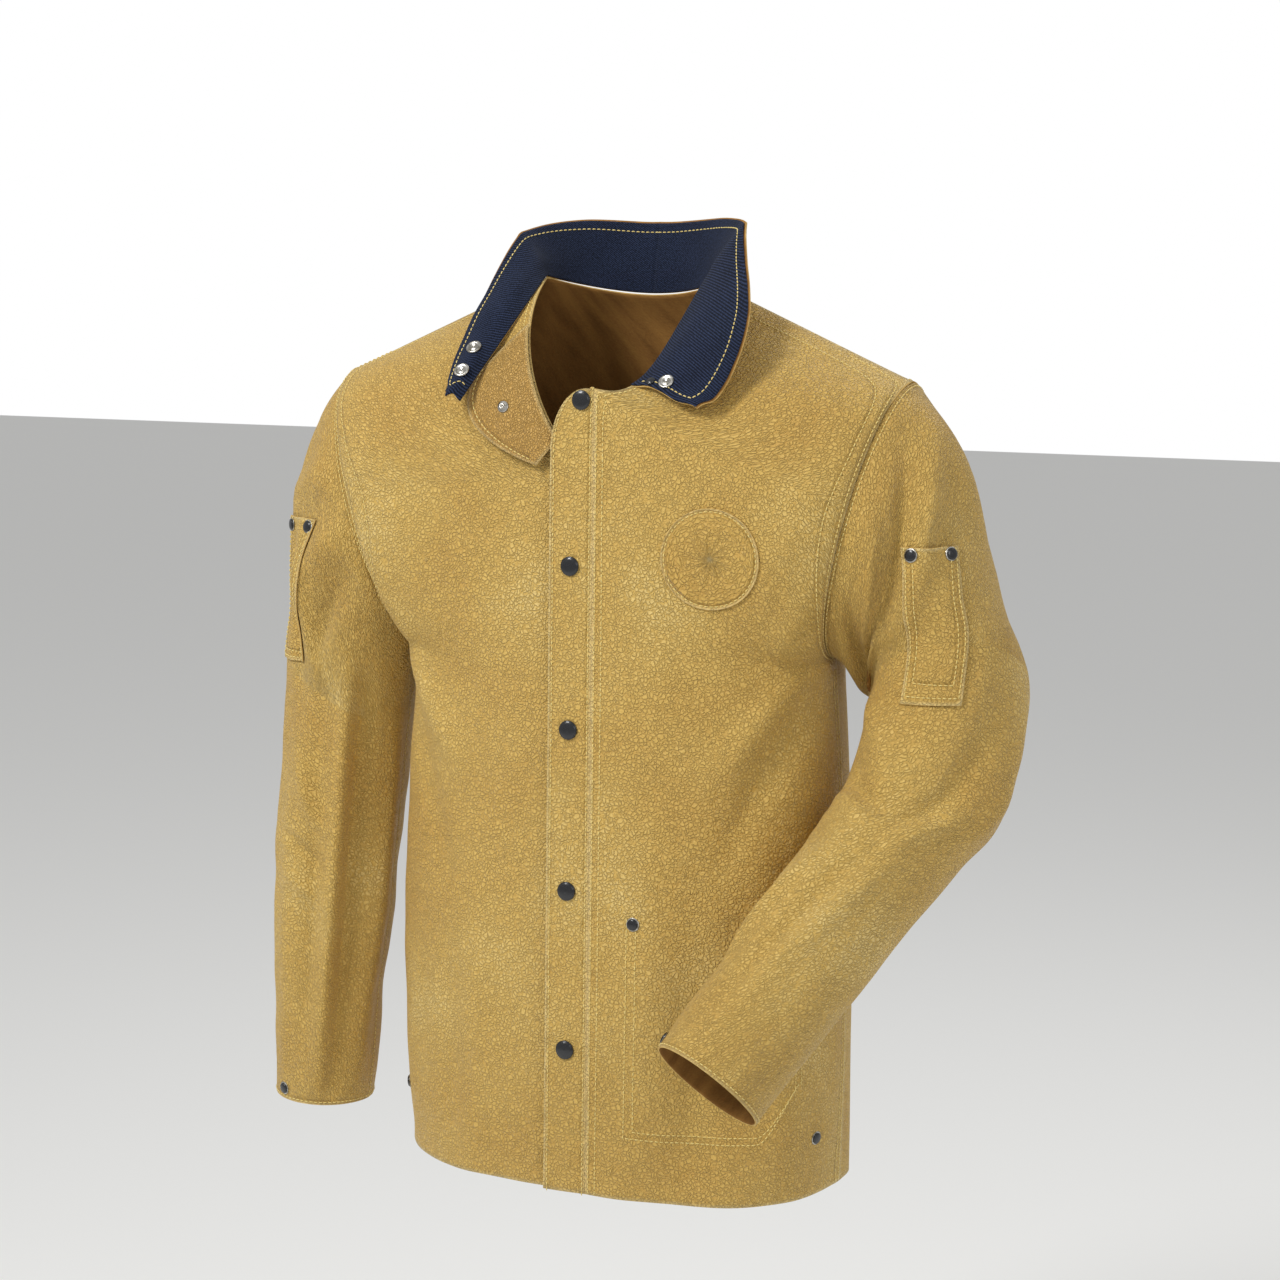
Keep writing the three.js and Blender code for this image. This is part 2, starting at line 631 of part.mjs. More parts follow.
// Open patch pockets on the front of the upper sleeves.
const PENCIL_POCKET_TOP = -195;
function shareAtHeight(face, angle, z) {
  let low = 0;
  let high = 1;
  for (let i = 0; i < 30; i += 1) {
    const middle = (low + high) / 2;
    if (face(angle, middle).z > z) low = middle;
    else high = middle;
  }
  return low;
}
function pencilPocketFace(face, angle) {
  const top = shareAtHeight(face, angle, PENCIL_POCKET_TOP);
  const bottom = shareAtHeight(face, angle, PENCIL_POCKET_TOP - PENCIL_POCKET_HEIGHT);
  const step = 0.01;
  const perAngle = face(angle + step, top).distanceTo(face(angle, top)) / step;
  const half = PENCIL_POCKET_WIDTH / 2 / perAngle;
  return (u, v) => face(mix(angle + half, angle - half, u), mix(bottom, top, v));
}
function addPencilPocket(name, sleeve) {
  const face = pencilPocketFace(sleeve.upperFace, sleeve.pocketAngle);
  const away = (point) => point.clone().sub(sleeveMiddle(sleeve.upperFace)(0.6)).setZ(0);
  const geometry = sheet(face, 5, 6, THIN_LEATHER, { away, lift: LAYER_GAP + CLEARANCE + THIN_LEATHER });
  return { face, away, mesh: addPiece(`${name}_pencil_pocket`, geometry, "leather") };
}
const leftPencil = addPencilPocket("left", leftSleeve);
const rightPencil = addPencilPocket("right", rightSleeve);

// ---- snaps --------------------------------------------------------------------------------
const ROUND = 10;
const SNAP_SLACK = 0.7; // play behind the curved right front
const frontNormal = vec(0, -1, (HEM_FRONT - CHEST_FRONT) / (FRONT_LENGTH - PLACKET_TOP)).normalize();
const snapSeat = (z, x = 0) => ({ point: vec(x, frontDepth(z), z), normal: frontNormal });
const HOLE_RADIUS = SNAP_POST_RADIUS + CLEARANCE;
const RIGHT_STACK = LEATHER + LAYER_GAP + THIN_LEATHER;

const DRILL_REACH = 14;
const CAP_RIM = 1;
const STUD_NECK_BACK = 1.2;
const STUD_TIP_BACK = 0.4;
const CAP_PROFILE = [
  [0, -FACING_BACK], [SNAP_POST_RADIUS, -FACING_BACK], [SNAP_POST_RADIUS, CLEARANCE],
  [CAP_RADIUS, CLEARANCE], [CAP_RADIUS, CLEARANCE + CAP_RIM],
  [CAP_RADIUS * 0.85, CAP_HEIGHT * 0.72], [CAP_RADIUS * 0.5, CAP_HEIGHT * 0.94], [0, CAP_HEIGHT],
];

// The enamelled cap outside the placket and the pressed socket behind it.
function addCapAndSocket(number, seat) {
  addPiece(`snap_cap_${number}`, turned(CAP_PROFILE, ROUND, seat), "cap");
  const bore = STUD_HEAD_RADIUS + CLEARANCE;
  const socket = [
    [bore, -SOCKET_END], [SOCKET_RADIUS, -SOCKET_END], [SOCKET_RADIUS, -SOCKET_FACE],
    [bore, -SOCKET_FACE], [bore, -SOCKET_END],
  ];
  addPiece(`snap_socket_${number}`, turned(socket, ROUND, seat), "steel");
}

function addStud(number, seat) {
  const flangeBack = STUD_FACE + STUD_FLANGE;
  const tailFace = flangeBack + CLEARANCE + RIGHT_STACK + SNAP_SLACK;
  const stud = [
    [0, -tailFace - STUD_FLANGE], [STUD_FLANGE_RADIUS, -tailFace - STUD_FLANGE],
    [STUD_FLANGE_RADIUS, -tailFace], [SNAP_POST_RADIUS, -tailFace],
    [SNAP_POST_RADIUS, -flangeBack], [STUD_FLANGE_RADIUS, -flangeBack],
    [STUD_FLANGE_RADIUS, -STUD_FACE], [STUD_HEAD_RADIUS * 0.8, -STUD_FACE],
    [STUD_HEAD_RADIUS, -SOCKET_FACE - STUD_NECK_BACK],
    [STUD_HEAD_RADIUS * 0.7, -SOCKET_FACE - STUD_TIP_BACK],
    [0, -SOCKET_FACE - CLEARANCE],
  ];
  addPiece(`snap_stud_${number}`, turned(stud, ROUND, seat), "steel");
}

for (let k = 0; k < SNAP_COUNT - 1; k += 1) {
  const seat = snapSeat(snapHeight(k));
  const layers = [placket, placketFacing, rightFront, rightFacing];
  layers.forEach((mesh) => drill(mesh, seat, HOLE_RADIUS, DRILL_REACH));
  addCapAndSocket(k + 1, seat);
  addStud(k + 1, seat);
}

// The open top snap: its cap and socket are on the placket, and its stud is on the lapel.
const TOP_SNAP_X = 8;
const topSeat = snapSeat(snapHeight(SNAP_COUNT - 1), TOP_SNAP_X);
[placket, placketFacing].forEach((mesh) => drill(mesh, topSeat, HOLE_RADIUS, DRILL_REACH / 2));
addCapAndSocket(SNAP_COUNT, topSeat);

// ---- rivets -------------------------------------------------------------------------------
// The head stands a little proud and the tail has some play, because the leather is curved.
const RIVET_SEAT = 0.75;
const RIVET_PLAY = 0.8;
const RIVET_SIDES = 8;
const RIVET_TAIL = 0.8;
function rivetProfile(stack, headRadius = RIVET_RADIUS) {
  const tail = stack + RIVET_PLAY;
  return [
    [0, -tail - RIVET_TAIL], [RIVET_TAIL_RADIUS, -tail - RIVET_TAIL], [RIVET_TAIL_RADIUS, -tail],
    [RIVET_POST_RADIUS, -tail], [RIVET_POST_RADIUS, RIVET_SEAT], [headRadius, RIVET_SEAT],
    [headRadius * 0.8, RIVET_SEAT + RIVET_HEIGHT * 0.7], [0, RIVET_SEAT + RIVET_HEIGHT],
  ];
}

// How thick the stack is behind a seat, down to the inner face of its last piece.
function stackBehind(seat, mesh) {
  const reach = 15;
  const inside = seat.point.clone().addScaledVector(seat.normal, -reach);
  return reach - seatOn(mesh, inside, seat.normal).point.distanceTo(inside);
}

// A rivet through a stack of leather, entered where a line from outside meets the first piece.
function addRivet(name, meshes, from, direction, look = "steel", radius = RIVET_RADIUS) {
  const seat = seatOn(meshes[0], from, direction);
  const stack = stackBehind(seat, meshes[meshes.length - 1]);
  meshes.forEach((mesh) => drill(mesh, seat, RIVET_POST_RADIUS + CLEARANCE, stack + 3));
  addPiece(name, turned(rivetProfile(stack, radius), RIVET_SIDES, seat), look);
}

const lapelSpot = lapelPoint(0.5, 0.45);
const lapelSide = lapelSpot.clone().add(vec(0, -60, 0));
addRivet(`snap_stud_${SNAP_COUNT}`, [lapel], lapelSide, vec(0, 1, 0), "steel", STUD_FLANGE_RADIUS);

const CORNER_INSET = 7;
function addPencilRivets(name, sleeve, pencil) {
  const inset = CORNER_INSET / PENCIL_POCKET_WIDTH;
  [["inner", inset], ["outer", 1 - inset]].forEach(([place, u]) => {
    const target = pencil.face(u, 1 - CORNER_INSET / PENCIL_POCKET_HEIGHT);
    const outward = pencil.away(target).normalize();
    const from = target.clone().addScaledVector(outward, 40);
    addRivet(`${name}_pencil_rivet_${place}`, [pencil.mesh, sleeve.upper], from, outward.negate());
  });
}
addPencilRivets("left", leftSleeve, leftPencil);
addPencilRivets("right", rightSleeve, rightPencil);

function addCuffRivet(name, sleeve, angle) {
  const share = 0.965;
  const target = sleeve.lowerFace(angle, share);
  const outward = target.clone().sub(sleeveMiddle(sleeve.lowerFace)(share)).normalize();
  const from = target.clone().addScaledVector(outward, 30);
  addRivet(`${name}_cuff_rivet`, [sleeve.lower], from, outward.negate());
}
addCuffRivet("left", leftSleeve, THREE.MathUtils.degToRad(112));
addCuffRivet("right", rightSleeve, THREE.MathUtils.degToRad(68));

function addFrontRivet(name, meshes, x, z) {
  const face = x > 0 ? leftFrontFace : rightFrontFace;
  const spot = locate(face, x, z);
  const outward = surfaceNormal(face, spot.u, spot.v, fromSpine);
  const from = face(spot.u, spot.v).addScaledVector(outward, 40);
  addRivet(name, meshes, from, outward.negate());
}
const HEM_RIVET_RISE = 44;
const HEM_RIVET_X = HEM_HALF - 7;
addFrontRivet("left_hem_rivet", [leftFront], HEM_RIVET_X, -FRONT_LENGTH + HEM_RIVET_RISE);
addFrontRivet("right_hem_rivet", [rightFront], -HEM_RIVET_X, -FRONT_LENGTH + HEM_RIVET_RISE);
const pocketTop = pocketBottom + INSIDE_POCKET_HEIGHT - CORNER_INSET;
const pocketLayers = [leftFront, insidePocket];
const POCKET_RIVETS = { inner: CORNER_INSET - pocketHalf, outer: 44 }; // from its middle
Object.entries(POCKET_RIVETS).forEach(([place, across]) => {
  addFrontRivet(`pocket_rivet_${place}`, pocketLayers, INSIDE_POCKET_X + across, pocketTop);
});

// The collar's own snap: a ring and a stud on the left wing, two eyelets on the right one.
// Places are shares of the wing, from its root to its tip and from its seam to its edge.
const COLLAR_FASTENERS = [
  ["collar_ring_snap", leftWing, leftWingFace, 0.88, 0.42, 6, "steel"],
  ["collar_stud", leftWing, leftWingFace, 0.93, 0.24, 3.7, "cap"],
  ["collar_eyelet_upper", rightWing, rightWingFace, 0.66, 0.5, 3.6, "steel"],
  ["collar_eyelet_lower", rightWing, rightWingFace, 0.84, 0.5, 3.2, "steel"],
];
const WING_DRILL = 6;
const WING_PLAY = 0.6; // the tails clear the curve of the wing
COLLAR_FASTENERS.forEach(([name, wing, face, u, v, radius, look]) => {
  const from = face(u, v).add(vec(0, -40, 30));
  const seat = seatOn(wing.lining, from, vec(0, 40, -30));
  const stack = stackBehind(seat, wing.leather);
  const bore = RIVET_POST_RADIUS + CLEARANCE;
  [wing.lining, wing.leather].forEach((mesh) => drill(mesh, seat, bore, WING_DRILL));
  addPiece(name, turned(rivetProfile(stack + WING_PLAY, radius), RIVET_SIDES, seat), look);
});

export default jacket;
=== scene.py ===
import bpy
import json
import math
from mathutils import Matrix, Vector, noise
from mathutils.kdtree import KDTree


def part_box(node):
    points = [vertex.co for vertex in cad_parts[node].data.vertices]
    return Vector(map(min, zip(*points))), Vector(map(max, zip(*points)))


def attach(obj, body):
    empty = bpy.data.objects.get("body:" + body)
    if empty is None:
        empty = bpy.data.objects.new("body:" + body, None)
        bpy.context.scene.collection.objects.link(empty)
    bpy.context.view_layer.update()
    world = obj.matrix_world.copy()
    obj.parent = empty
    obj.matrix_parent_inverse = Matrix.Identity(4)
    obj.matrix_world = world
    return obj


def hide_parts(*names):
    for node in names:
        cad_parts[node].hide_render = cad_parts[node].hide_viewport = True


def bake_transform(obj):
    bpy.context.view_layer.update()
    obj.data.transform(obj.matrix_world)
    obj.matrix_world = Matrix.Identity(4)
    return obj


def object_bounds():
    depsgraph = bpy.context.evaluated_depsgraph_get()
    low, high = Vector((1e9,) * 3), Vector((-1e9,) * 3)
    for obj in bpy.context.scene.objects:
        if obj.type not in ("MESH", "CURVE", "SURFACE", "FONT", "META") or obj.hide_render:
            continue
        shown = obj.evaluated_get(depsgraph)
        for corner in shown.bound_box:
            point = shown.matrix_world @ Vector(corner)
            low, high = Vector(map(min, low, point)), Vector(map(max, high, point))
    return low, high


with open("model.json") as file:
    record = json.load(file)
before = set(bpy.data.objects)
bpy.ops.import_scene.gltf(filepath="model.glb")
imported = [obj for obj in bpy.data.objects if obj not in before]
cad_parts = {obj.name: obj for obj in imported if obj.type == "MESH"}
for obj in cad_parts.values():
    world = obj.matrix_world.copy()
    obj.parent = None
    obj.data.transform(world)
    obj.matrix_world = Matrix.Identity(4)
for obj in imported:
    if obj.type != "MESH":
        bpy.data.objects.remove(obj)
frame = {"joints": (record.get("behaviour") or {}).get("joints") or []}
cad_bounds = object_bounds()

# ---- viewpoint ----------------------------------------------------------------------------
# The jacket is seen at chest height from its left front quarter, through a long lens, so that
# the placket stays nearly straight and the bent sleeve comes towards the eye.
aim = Vector((0, 0, -0.34))
azimuth, elevation, distance = math.radians(23.38), math.radians(10.01), 2.3715
towards_eye = Vector((
    math.sin(azimuth) * math.cos(elevation),
    -math.cos(azimuth) * math.cos(elevation),
    math.sin(elevation),
))
camera = bpy.data.objects.new("viewpoint", bpy.data.cameras.new("viewpoint"))
bpy.context.scene.collection.objects.link(camera)
camera.location = aim + towards_eye * distance
camera.rotation_euler = towards_eye.to_track_quat("Z", "Y").to_euler()
camera.data.sensor_width = 36
camera.data.lens = 82.8
camera.data.shift_x = 0.0134
camera.data.shift_y = 0.0502
bpy.context.scene.camera = camera
bpy.context.scene.view_settings.view_transform = "Standard"

# ---- back ---------------------------------------------------------------------------------
# The back is one hide, cut wide at the shoulder blades and sewn to the fronts at the sides and
# shoulders. It is drum-dyed golden grain leather, 1.4 mm thick, with the brown flesh side in.
# The pattern is drafted in millimetres, and metres() turns its points to the scene's unit.
LEATHER = 1.4


def mix(a, b, share):
    return a + (b - a) * share


def ease(value, low, high):
    share = min(max((value - low) / (high - low), 0), 1)
    return share * share * (3 - 2 * share)


def curve(start, first, second, end, t):
    rest = 1 - t
    return (start * rest**3 + first * (3 * rest * rest * t)
            + second * (3 * rest * t * t) + end * t**3)


def box_mm(node):
    low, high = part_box(node)
    return low * 1000, high * 1000


back_low = box_mm("back")[0]
shoulder_tip = Vector((237, 5, -75))
tilt = math.radians(15)
armhole_normal = Vector((math.cos(tilt), 0, -math.sin(tilt)))
armhole_up = Vector((math.sin(tilt), 0, math.cos(tilt)))
armhole_middle = shoulder_tip - armhole_up * 111
underarm = armhole_middle - armhole_up * 111
HEM_HALF, SEAM_GAP, UNDERARM_ROW = 188, 0.15, 0.55
NAPE = Vector((0, 62, -15))


def armhole(angle):
    return (armhole_middle + armhole_up * (111 * math.cos(angle))
            + Vector((0, -76 * math.sin(angle), 0)))


def side_edge(v, facing):
    if v > UNDERARM_ROW:
        angle = math.pi * (1 - v) / (1 - UNDERARM_ROW)
        return armhole(-facing * angle) + Vector((0, facing * SEAM_GAP, 0))
    t = v / UNDERARM_ROW
    x = mix(HEM_HALF, underarm.x, t) + 7 * math.sin(math.pi * t)
    return Vector((x, 5 + facing * SEAM_GAP, mix(-716, underarm.z, t)))


def body_row(start, end, t):
    first = Vector((mix(start.x, end.x, 0.62), start.y, mix(start.z, end.z, 0.62)))
    return curve(start, first, Vector((end.x, mix(end.y, start.y, 0.62), end.z)), end, t)


def neck_point(facing):
    return Vector((68, 5 + facing * SEAM_GAP, 0))


def back_neck(t):
    end = neck_point(1)
    return curve(NAPE, NAPE + Vector((35, 0, 0)), end + Vector((0, 32, -5)), end, t)


def back_top(across):
    if across <= 0.375:
        return back_neck(across / 0.375)
    return neck_point(1).lerp(side_edge(1, 1), (across - 0.375) / 0.625)


def back_face(u, v):
    across = abs(2 * u - 1)
    spine = curve(Vector((0, 112, back_low.z)), Vector((0, 106, back_low.z * 0.68)),
                  Vector((0, 141, -120)), NAPE, v)
    place = body_row(spine, side_edge(v, 1), across)
    lift = back_top(across) - body_row(NAPE, side_edge(1, 1), across)
    place += lift * ease(v, 0.7, 1) ** 2
    return Vector((-place.x if u < 0.5 else place.x, place.y, place.z))


def linear(hex_colour):
    """A hex sRGB colour as the linear colour that the nodes take."""
    out = []
    for k in (1, 3, 5):
        share = int(hex_colour[k:k + 2], 16) / 255
        out.append(share / 12.92 if share <= 0.04045 else ((share + 0.055) / 1.055) ** 2.4)
    return (*out, 1)


def add_node(tree, kind, inputs=None, **settings):
    """Adds a node, sets it up, and links or sets its inputs."""
    node = tree.nodes.new(kind)
    for name, value in settings.items():
        setattr(node, name, value)
    for key, value in (inputs or {}).items():
        if isinstance(value, bpy.types.NodeSocket):
            tree.links.new(value, node.inputs[key])
        else:
            node.inputs[key].default_value = value
    return node


def colour_steps(tree, factor, steps):
    """A ramp through (place, hex colour) steps."""
    ramp = add_node(tree, "ShaderNodeValToRGB", {0: factor})
    points = ramp.color_ramp.elements
    points[0].position, points[0].color = steps[0][0], linear(steps[0][1])
    points[1].position, points[1].color = steps[-1][0], linear(steps[-1][1])
    for place, colour in steps[1:-1]:
        points.new(place).color = linear(colour)
    return ramp.outputs[0]


def new_finish(name):
    material = bpy.data.materials.new(name)
    material.use_nodes = True
    tree = material.node_tree
    shader = tree.nodes["Principled BSDF"]
    return material, tree, shader


def drum_dyed_leather(name, deep, middle, lit, grain, roughness, wear):
    """Tumbled grain leather. The drum leaves 3 mm pebbles with fine creases between them, the
    dye takes unevenly over a hand's width, and rubbed edges pale. Needle rows sink, and the leather
    beside them carries painted shade: its colour is darkened as if shaded in the sunk row."""
    material, tree, shader = new_finish(name)
    cut = add_node(tree, "ShaderNodeUVMap", uv_map="cut").outputs[0]
    wander = add_node(tree, "ShaderNodeTexNoise", {"Vector": cut, "Scale": 140, "Detail": 2})
    bent = add_node(tree, "ShaderNodeVectorMath", {0: wander.outputs["Color"], 1: (0.006,) * 3},
                    operation="MULTIPLY")
    spot = add_node(tree, "ShaderNodeVectorMath", {0: cut, 1: bent.outputs[0]}, operation="ADD")
    # Pebbles are about 1000 / grain mm wide.
    pebble = add_node(tree, "ShaderNodeTexVoronoi", {"Vector": spot.outputs[0], "Scale": grain},
                      feature="DISTANCE_TO_EDGE")
    crease = add_node(tree, "ShaderNodeMapRange",
                      {"Value": pebble.outputs["Distance"], "From Max": 0.22},
                      interpolation_type="SMOOTHSTEP")
    pores = add_node(tree, "ShaderNodeTexNoise",
                     {"Vector": cut, "Scale": 900, "Detail": 3, "Roughness": 0.65})
    tumble = add_node(tree, "ShaderNodeTexNoise",
                      {"Vector": cut, "Scale": 75, "Detail": 4, "Roughness": 0.6, "Distortion": 0.4})
    dye = add_node(tree, "ShaderNodeTexNoise",
                   {"Vector": cut, "Scale": 6, "Detail": 6, "Roughness": 0.5})
    speckle = add_node(tree, "ShaderNodeMath",
                       {0: pores.outputs[0], 1: 0.4, 2: dye.outputs[0]}, operation="MULTIPLY_ADD")
    tone = add_node(tree, "ShaderNodeMath",
                    {0: crease.outputs[0], 1: 0.16, 2: speckle.outputs[0]}, operation="MULTIPLY_ADD")
    base = colour_steps(tree, tone.outputs[0], [(0.45, deep), (0.85, middle), (1.0, lit)])
    seam = add_node(tree, "ShaderNodeAttribute", attribute_name="stitch_mm")
    near_row = add_node(tree, "ShaderNodeMapRange",
                        {"Value": seam.outputs["Fac"], "From Max": 3.2, "To Min": 1, "To Max": 0},
                        interpolation_type="SMOOTHSTEP")
    edge = add_node(tree, "ShaderNodeAttribute", attribute_name="edge_mm")
    near_edge = add_node(tree, "ShaderNodeMapRange",
                         {"Value": edge.outputs["Fac"], "From Max": 3.5, "To Min": 1, "To Max": 0},
                         interpolation_type="SMOOTHSTEP")
    rub = add_node(tree, "ShaderNodeMath", {0: near_edge.outputs[0], 1: tumble.outputs[0]},
                   operation="MULTIPLY")
    rubbed = add_node(tree, "ShaderNodeMix", {0: rub.outputs[0], 6: base, 7: linear(wear)},
                      data_type="RGBA")
    # Painted shade: within about 3 mm of a stitch row the colour is mixed 30% towards the deep tone,
    # standing in for shade in the sunk row.
    painted_row_shade = add_node(tree, "ShaderNodeMath", {0: near_row.outputs[0], 1: 0.3}, operation="MULTIPLY")
    tinted = add_node(tree, "ShaderNodeMix",
                      {0: painted_row_shade.outputs[0], 6: rubbed.outputs[2], 7: linear(deep)}, data_type="RGBA")
    tree.links.new(tinted.outputs[2], shader.inputs["Base Color"])
    gloss = add_node(tree, "ShaderNodeMapRange",
                     {"Value": tumble.outputs[0], "From Min": 0.3, "From Max": 0.7,
                      "To Min": roughness - 0.07, "To Max": roughness + 0.09})
    tree.links.new(gloss.outputs[0], shader.inputs["Roughness"])
    fine = add_node(tree, "ShaderNodeMath", {0: pores.outputs[0], 1: 0.35, 2: crease.outputs[0]},
                    operation="MULTIPLY_ADD")
    coarse = add_node(tree, "ShaderNodeMath", {0: tumble.outputs[0], 1: 3.2, 2: fine.outputs[0]},
                      operation="MULTIPLY_ADD")
    sunk = add_node(tree, "ShaderNodeMath",
                    {0: near_row.outputs[0], 1: -2.2, 2: coarse.outputs[0]},
                    operation="MULTIPLY_ADD")
    bump = add_node(tree, "ShaderNodeBump",
                    {"Height": sunk.outputs[0], "Strength": 0.9, "Distance": 0.0011})
    tree.links.new(bump.outputs[0], shader.inputs["Normal"])
    shader.inputs["Specular IOR Level"].default_value = 0.42
    shader.inputs["Sheen Weight"].default_value = 0.08
    shader.inputs["Sheen Roughness"].default_value = 0.4
    return material


def flesh_side(name, deep, lit):
    """The unfinished flesh side: matt brown nap, streaked the way the hide was fleshed."""
    material, tree, shader = new_finish(name)
    cut = add_node(tree, "ShaderNodeUVMap", uv_map="cut").outputs[0]
    nap = add_node(tree, "ShaderNodeTexNoise",
                   {"Vector": cut, "Scale": 520, "Detail": 4, "Roughness": 0.7})
    streak = add_node(tree, "ShaderNodeMapping", {"Vector": cut, "Scale": (60, 14, 1)})
    fleshed = add_node(tree, "ShaderNodeTexNoise",
                       {"Vector": streak.outputs[0], "Scale": 1, "Detail": 4})
    tone = add_node(tree, "ShaderNodeMath", {0: nap.outputs[0], 1: 0.5, 2: fleshed.outputs[0]},
                    operation="MULTIPLY_ADD")
    base = colour_steps(tree, tone.outputs[0], [(0.45, deep), (0.95, lit)])
    tree.links.new(base, shader.inputs["Base Color"])
    bump = add_node(tree, "ShaderNodeBump",
                    {"Height": nap.outputs[0], "Strength": 0.6, "Distance": 0.0006})
    tree.links.new(bump.outputs[0], shader.inputs["Normal"])
    shader.inputs["Roughness"].default_value = 0.92
    shader.inputs["Specular IOR Level"].default_value = 0.2
    return material


golden_grain = drum_dyed_leather("drum_dyed_golden_grain_leather", "#B48A3C", "#CDAA58", "#D9BC74",
                                 330, 0.58, "#E6CF92")
brown_flesh = flesh_side("brushed_brown_flesh_leather", "#6E4A22", "#A3763C")
cut_edge = flesh_side("cut_leather_edge", "#A98445", "#D8B873")


def grid_normals(points, wraps, away):
    """Normals of a grid of points, on the side that faces away from the inside."""
    rows, columns = len(points), len(points[0])
    normals = []
    for j in range(rows):
        above, below = points[min(j + 1, rows - 1)], points[max(j - 1, 0)]
        line = []
        for i in range(columns):
            if wraps:
                ahead, behind = points[j][(i + 1) % columns], points[j][i - 1]
            else:
                ahead, behind = points[j][min(i + 1, columns - 1)], points[j][max(i - 1, 0)]
            normal = (ahead - behind).cross(above[i] - below[i])
            line.append(normal.normalized() if normal.length > 1e-9 else Vector((0, 0, 1)))
        normals.append(line)
    j, i = rows // 2, columns // 3
    if normals[j][i].dot(away(points[j][i])) < 0:
        normals = [[-normal for normal in line] for line in normals]
    return normals


def soften(points, rounds, wraps=False):
    """Relaxes the inside of a grid, so that the hide bridges the pattern's corners."""
    columns = len(points[0])
    for _ in range(rounds):
        held = [list(line) for line in points]
        for j in range(1, len(points) - 1):
            for i in range(columns) if wraps else range(1, columns - 1):
                ring = held[j][(i + 1) % columns] + held[j][i - 1] + held[j + 1][i] + held[j - 1][i]
                points[j][i] = held[j][i].lerp(ring / 4, 0.6)


def on_panel(panel, u, v):
    """The place and normal at shares u and v of a finished panel."""
    points, normals, wraps = panel["points"], panel["normals"], panel["wraps"]
    rows, columns = len(points) - 1, len(points[0]) - (0 if wraps else 1)
    x, y = u * columns, min(max(v, 0), 1) * rows
    j = min(int(y), rows - 1)
    if wraps:
        i, k = int(x // 1) % columns, (int(x // 1) + 1) % columns
    else:
        x = min(max(x, 0), columns)
        i = min(int(x), columns - 1)
        k = i + 1
    s, t = (x - math.floor(x) if wraps else x - i), y - j
    out = []
    for grid in (points, normals):
        out.append(grid[j][i].lerp(grid[j][k], s).lerp(grid[j + 1][i].lerp(grid[j + 1][k], s), t))
    return out[0], out[1].normalized()


def away_from_spine(point):
    return Vector((point.x, point.y * 1.6, max(0, point.z + 120)))


def nearest_distances(places, targets):
    """How far each place is from the nearest of the targets, in millimetres."""
    if not targets:
        return [99.0] * len(places)
    tree = KDTree(len(targets))
    for k, target in enumerate(targets):
        tree.insert(target, k)
    tree.balance()
    return [min(tree.find(place)[2], 99.0) for place in places]


def metres(point):
    return point * 0.001


